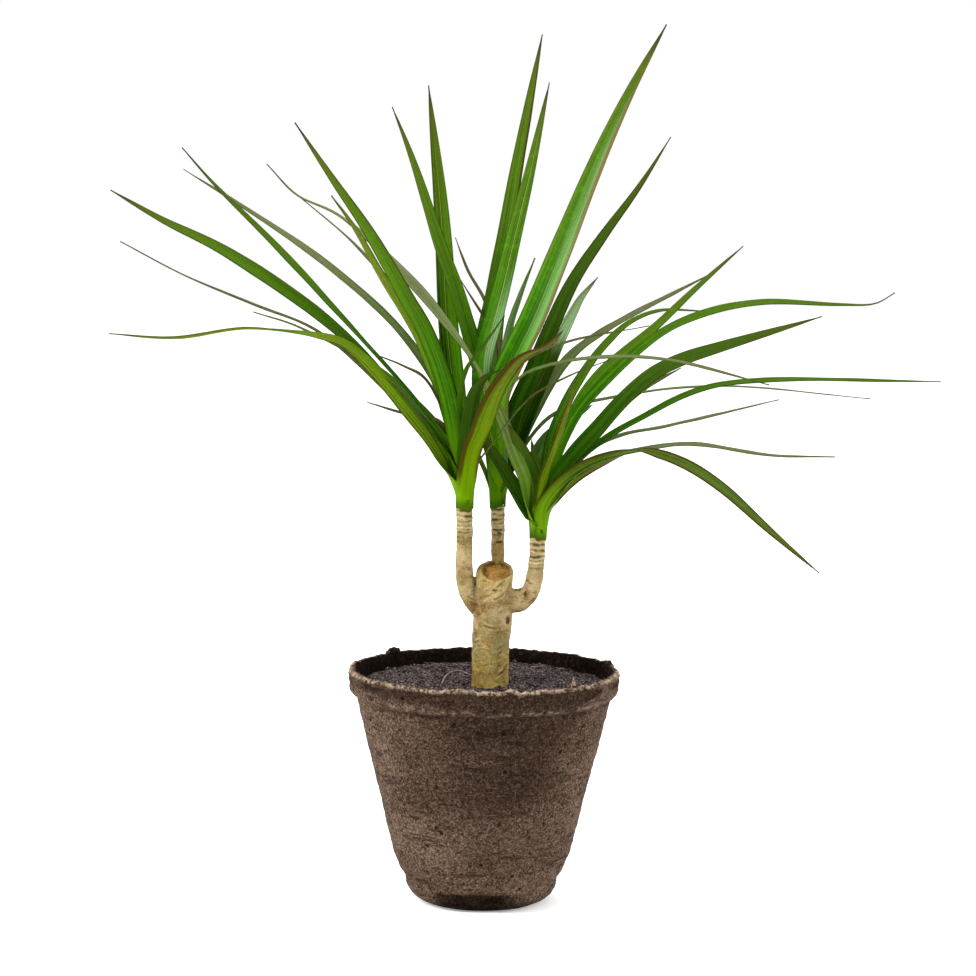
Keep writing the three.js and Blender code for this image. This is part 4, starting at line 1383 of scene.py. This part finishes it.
def add_leaf(name, leaf, top, clasp_radius, root_z, seed, materials, replaced):
    route, outward = leaf_route(leaf, top, clasp_radius, root_z)
    bm = bmesh.new()
    bmesh.ops.create_grid(bm, x_segments=BLADE_COLUMNS, y_segments=BLADE_ROWS, size=1.0)
    uv_layer = bm.loops.layers.uv.new("blade")
    layers = [bm.verts.layers.float.new(mark) for mark in BLADE_MARKS]
    for face in bm.faces:
        for loop in face.loops:
            loop[uv_layer].uv = ((loop.vert.co.x + 1) / 2, (loop.vert.co.y + 1) / 2)
    rows = {}
    for vert in bm.verts:
        u = vert.co.x
        s = (vert.co.y + 1) / 2
        key = round(s, 5)
        if key not in rows:
            rows[key] = blade_row(leaf, route, outward, clasp_radius, s)
        vert.co = blade_spot(leaf, rows[key], u, s, clasp_radius, seed)
        for layer, value in zip(layers, blade_marks(leaf, u, s, seed)):
            vert[layer] = value
    bmesh.ops.recalc_face_normals(bm, faces=bm.faces)
    mesh = to_mesh(bm, name)
    turn_upper_side_up(mesh, rows)
    thicken_blade(add_piece(name, mesh, materials, replaced))


def turn_upper_side_up(mesh, rows):
    """The first material is the upper side's, so the mesh has to face the way that its rows do."""
    middle = mesh.polygons[len(mesh.polygons) // 2]
    s = mesh.uv_layers["blade"].data[middle.loop_indices[0]].uv.y
    _, face, _, _ = rows[min(rows, key=lambda row: abs(row - s))]
    if middle.normal.dot(face) < 0:
        mesh.flip_normals()


def thicken_blade(piece):
    shell = piece.modifiers.new("blade", "SOLIDIFY")
    shell.thickness = BLADE_THICKNESS * MM
    shell.offset = 0.0
    shell.material_offset = 1
    shell.material_offset_rim = 2


def add_sheath(name, top, radius, material):
    """The young rolled leaves in the middle of a head, seen only between the outer ones."""
    centres = []
    radii = []
    for step in range(SHEATH_STEPS + 1):
        rise = SEAT_GAP + SHEATH_HEIGHT * step / SHEATH_STEPS
        centres.append(Vector((top[0], top[1], top[2] + rise)) * MM)
        radii.append(radius * MM * (1 - 0.85 * (step / SHEATH_STEPS) ** 1.6))
    bm = bmesh.new()
    add_tube(bm, centres, radii, SHEATH_SIDES)
    bmesh.ops.recalc_face_normals(bm, faces=bm.faces)
    add_piece(name, to_mesh(bm, name), [material])


def add_heads():
    """Each leaf sits a little higher and tighter on its shoot than the one before it."""
    finishes = {}
    for kind in GREENS:
        finishes[kind] = [leaf_face(kind, "upper"), leaf_face(kind, "lower"), leaf_edge(kind)]
    for head, top, radius, leaves in HEADS:
        add_sheath(f"sheath_{head}", top, radius - SHEATH_INSET, finishes["lime"][2])
        for index, leaf in enumerate(leaves):
            name = f"leaf_{head}_{index + 1:02d}"
            clasp_radius = radius + CLASP_CLEARANCE - CLASP_SPACING * index
            root_z = top[2] - BASE_OVERLAP + ROOT_SPACING * index
            seed = index + len(head)
            replaced = [f"leaves_{head}"] if index == 0 else []
            add_leaf(name, leaf, top, clasp_radius, root_z, seed, finishes[leaf.kind], replaced)


# ---------------------------------------------------------------- floor and light

WHITE = (1, 1, 1, 1)
FLOOR_HALF_SIDE = 6.0
FLOOR_GLOW = 0.25
LIGHT_TARGET = Vector((0, 0, 0.22))
# Soft lights: name, place in metres, side of the square in metres, watts.
SOFTBOXES = (
    ("key_light", (-1.9, -1.1, 1.7), 1.0, 60),
    ("fill_light", (2.0, -0.8, 1.1), 1.2, 21),
    ("top_light", (0.2, 0.5, 2.3), 1.4, 22),
)


def add_floor():
    bm = bmesh.new()
    bmesh.ops.create_grid(bm, x_segments=1, y_segments=1, size=FLOOR_HALF_SIDE)
    finish = Finish("pale_floor", roughness=0.9, specular=0.1)
    finish.colour(WHITE)
    finish.feed(finish.surface.inputs["Emission Color"], WHITE)
    finish.feed(finish.surface.inputs["Emission Strength"], FLOOR_GLOW)
    mesh = to_mesh(bm, "floor")
    mesh.materials.append(finish.material)
    floor = bpy.data.objects.new("floor", mesh)
    bpy.context.scene.collection.objects.link(floor)


def add_softbox(name, place, side, watts):
    data = bpy.data.lights.new(name, "AREA")
    data.shape = "SQUARE"
    data.size = side
    data.energy = watts
    light = bpy.data.objects.new(name, data)
    aim = (LIGHT_TARGET - Vector(place)).to_track_quat("-Z", "Y")
    light.matrix_world = Matrix.Translation(place) @ aim.to_matrix().to_4x4()
    bpy.context.scene.collection.objects.link(light)


def add_light():
    """Even white light all round, with three soft lights."""
    scene = bpy.context.scene
    scene.view_settings.view_transform = "Standard"
    world = bpy.data.worlds.new("studio")
    world.use_nodes = True
    background = world.node_tree.nodes["Background"]
    background.inputs["Color"].default_value = WHITE
    background.inputs["Strength"].default_value = 1.0
    scene.world = world
    for box in SOFTBOXES:
        add_softbox(*box)


# ---------------------------------------------------------------- the whole plant

fibre_finish = moulded_fibre()
soil_finish = potting_soil()
add_floor()
add_light()
add_pot(fibre_finish)
add_torn_flap(fibre_finish)
add_rim_curls(fibre_finish)
add_fibres(dry_strand("loose_fibre", srgb(132, 114, 98), srgb(84, 66, 52)))
add_soil(soil_finish)
add_crumbs(soil_finish)
add_root_thread(dry_strand("root_thread", srgb(196, 180, 158), srgb(160, 142, 122)))
add_cane(cane_bark())
add_heads()
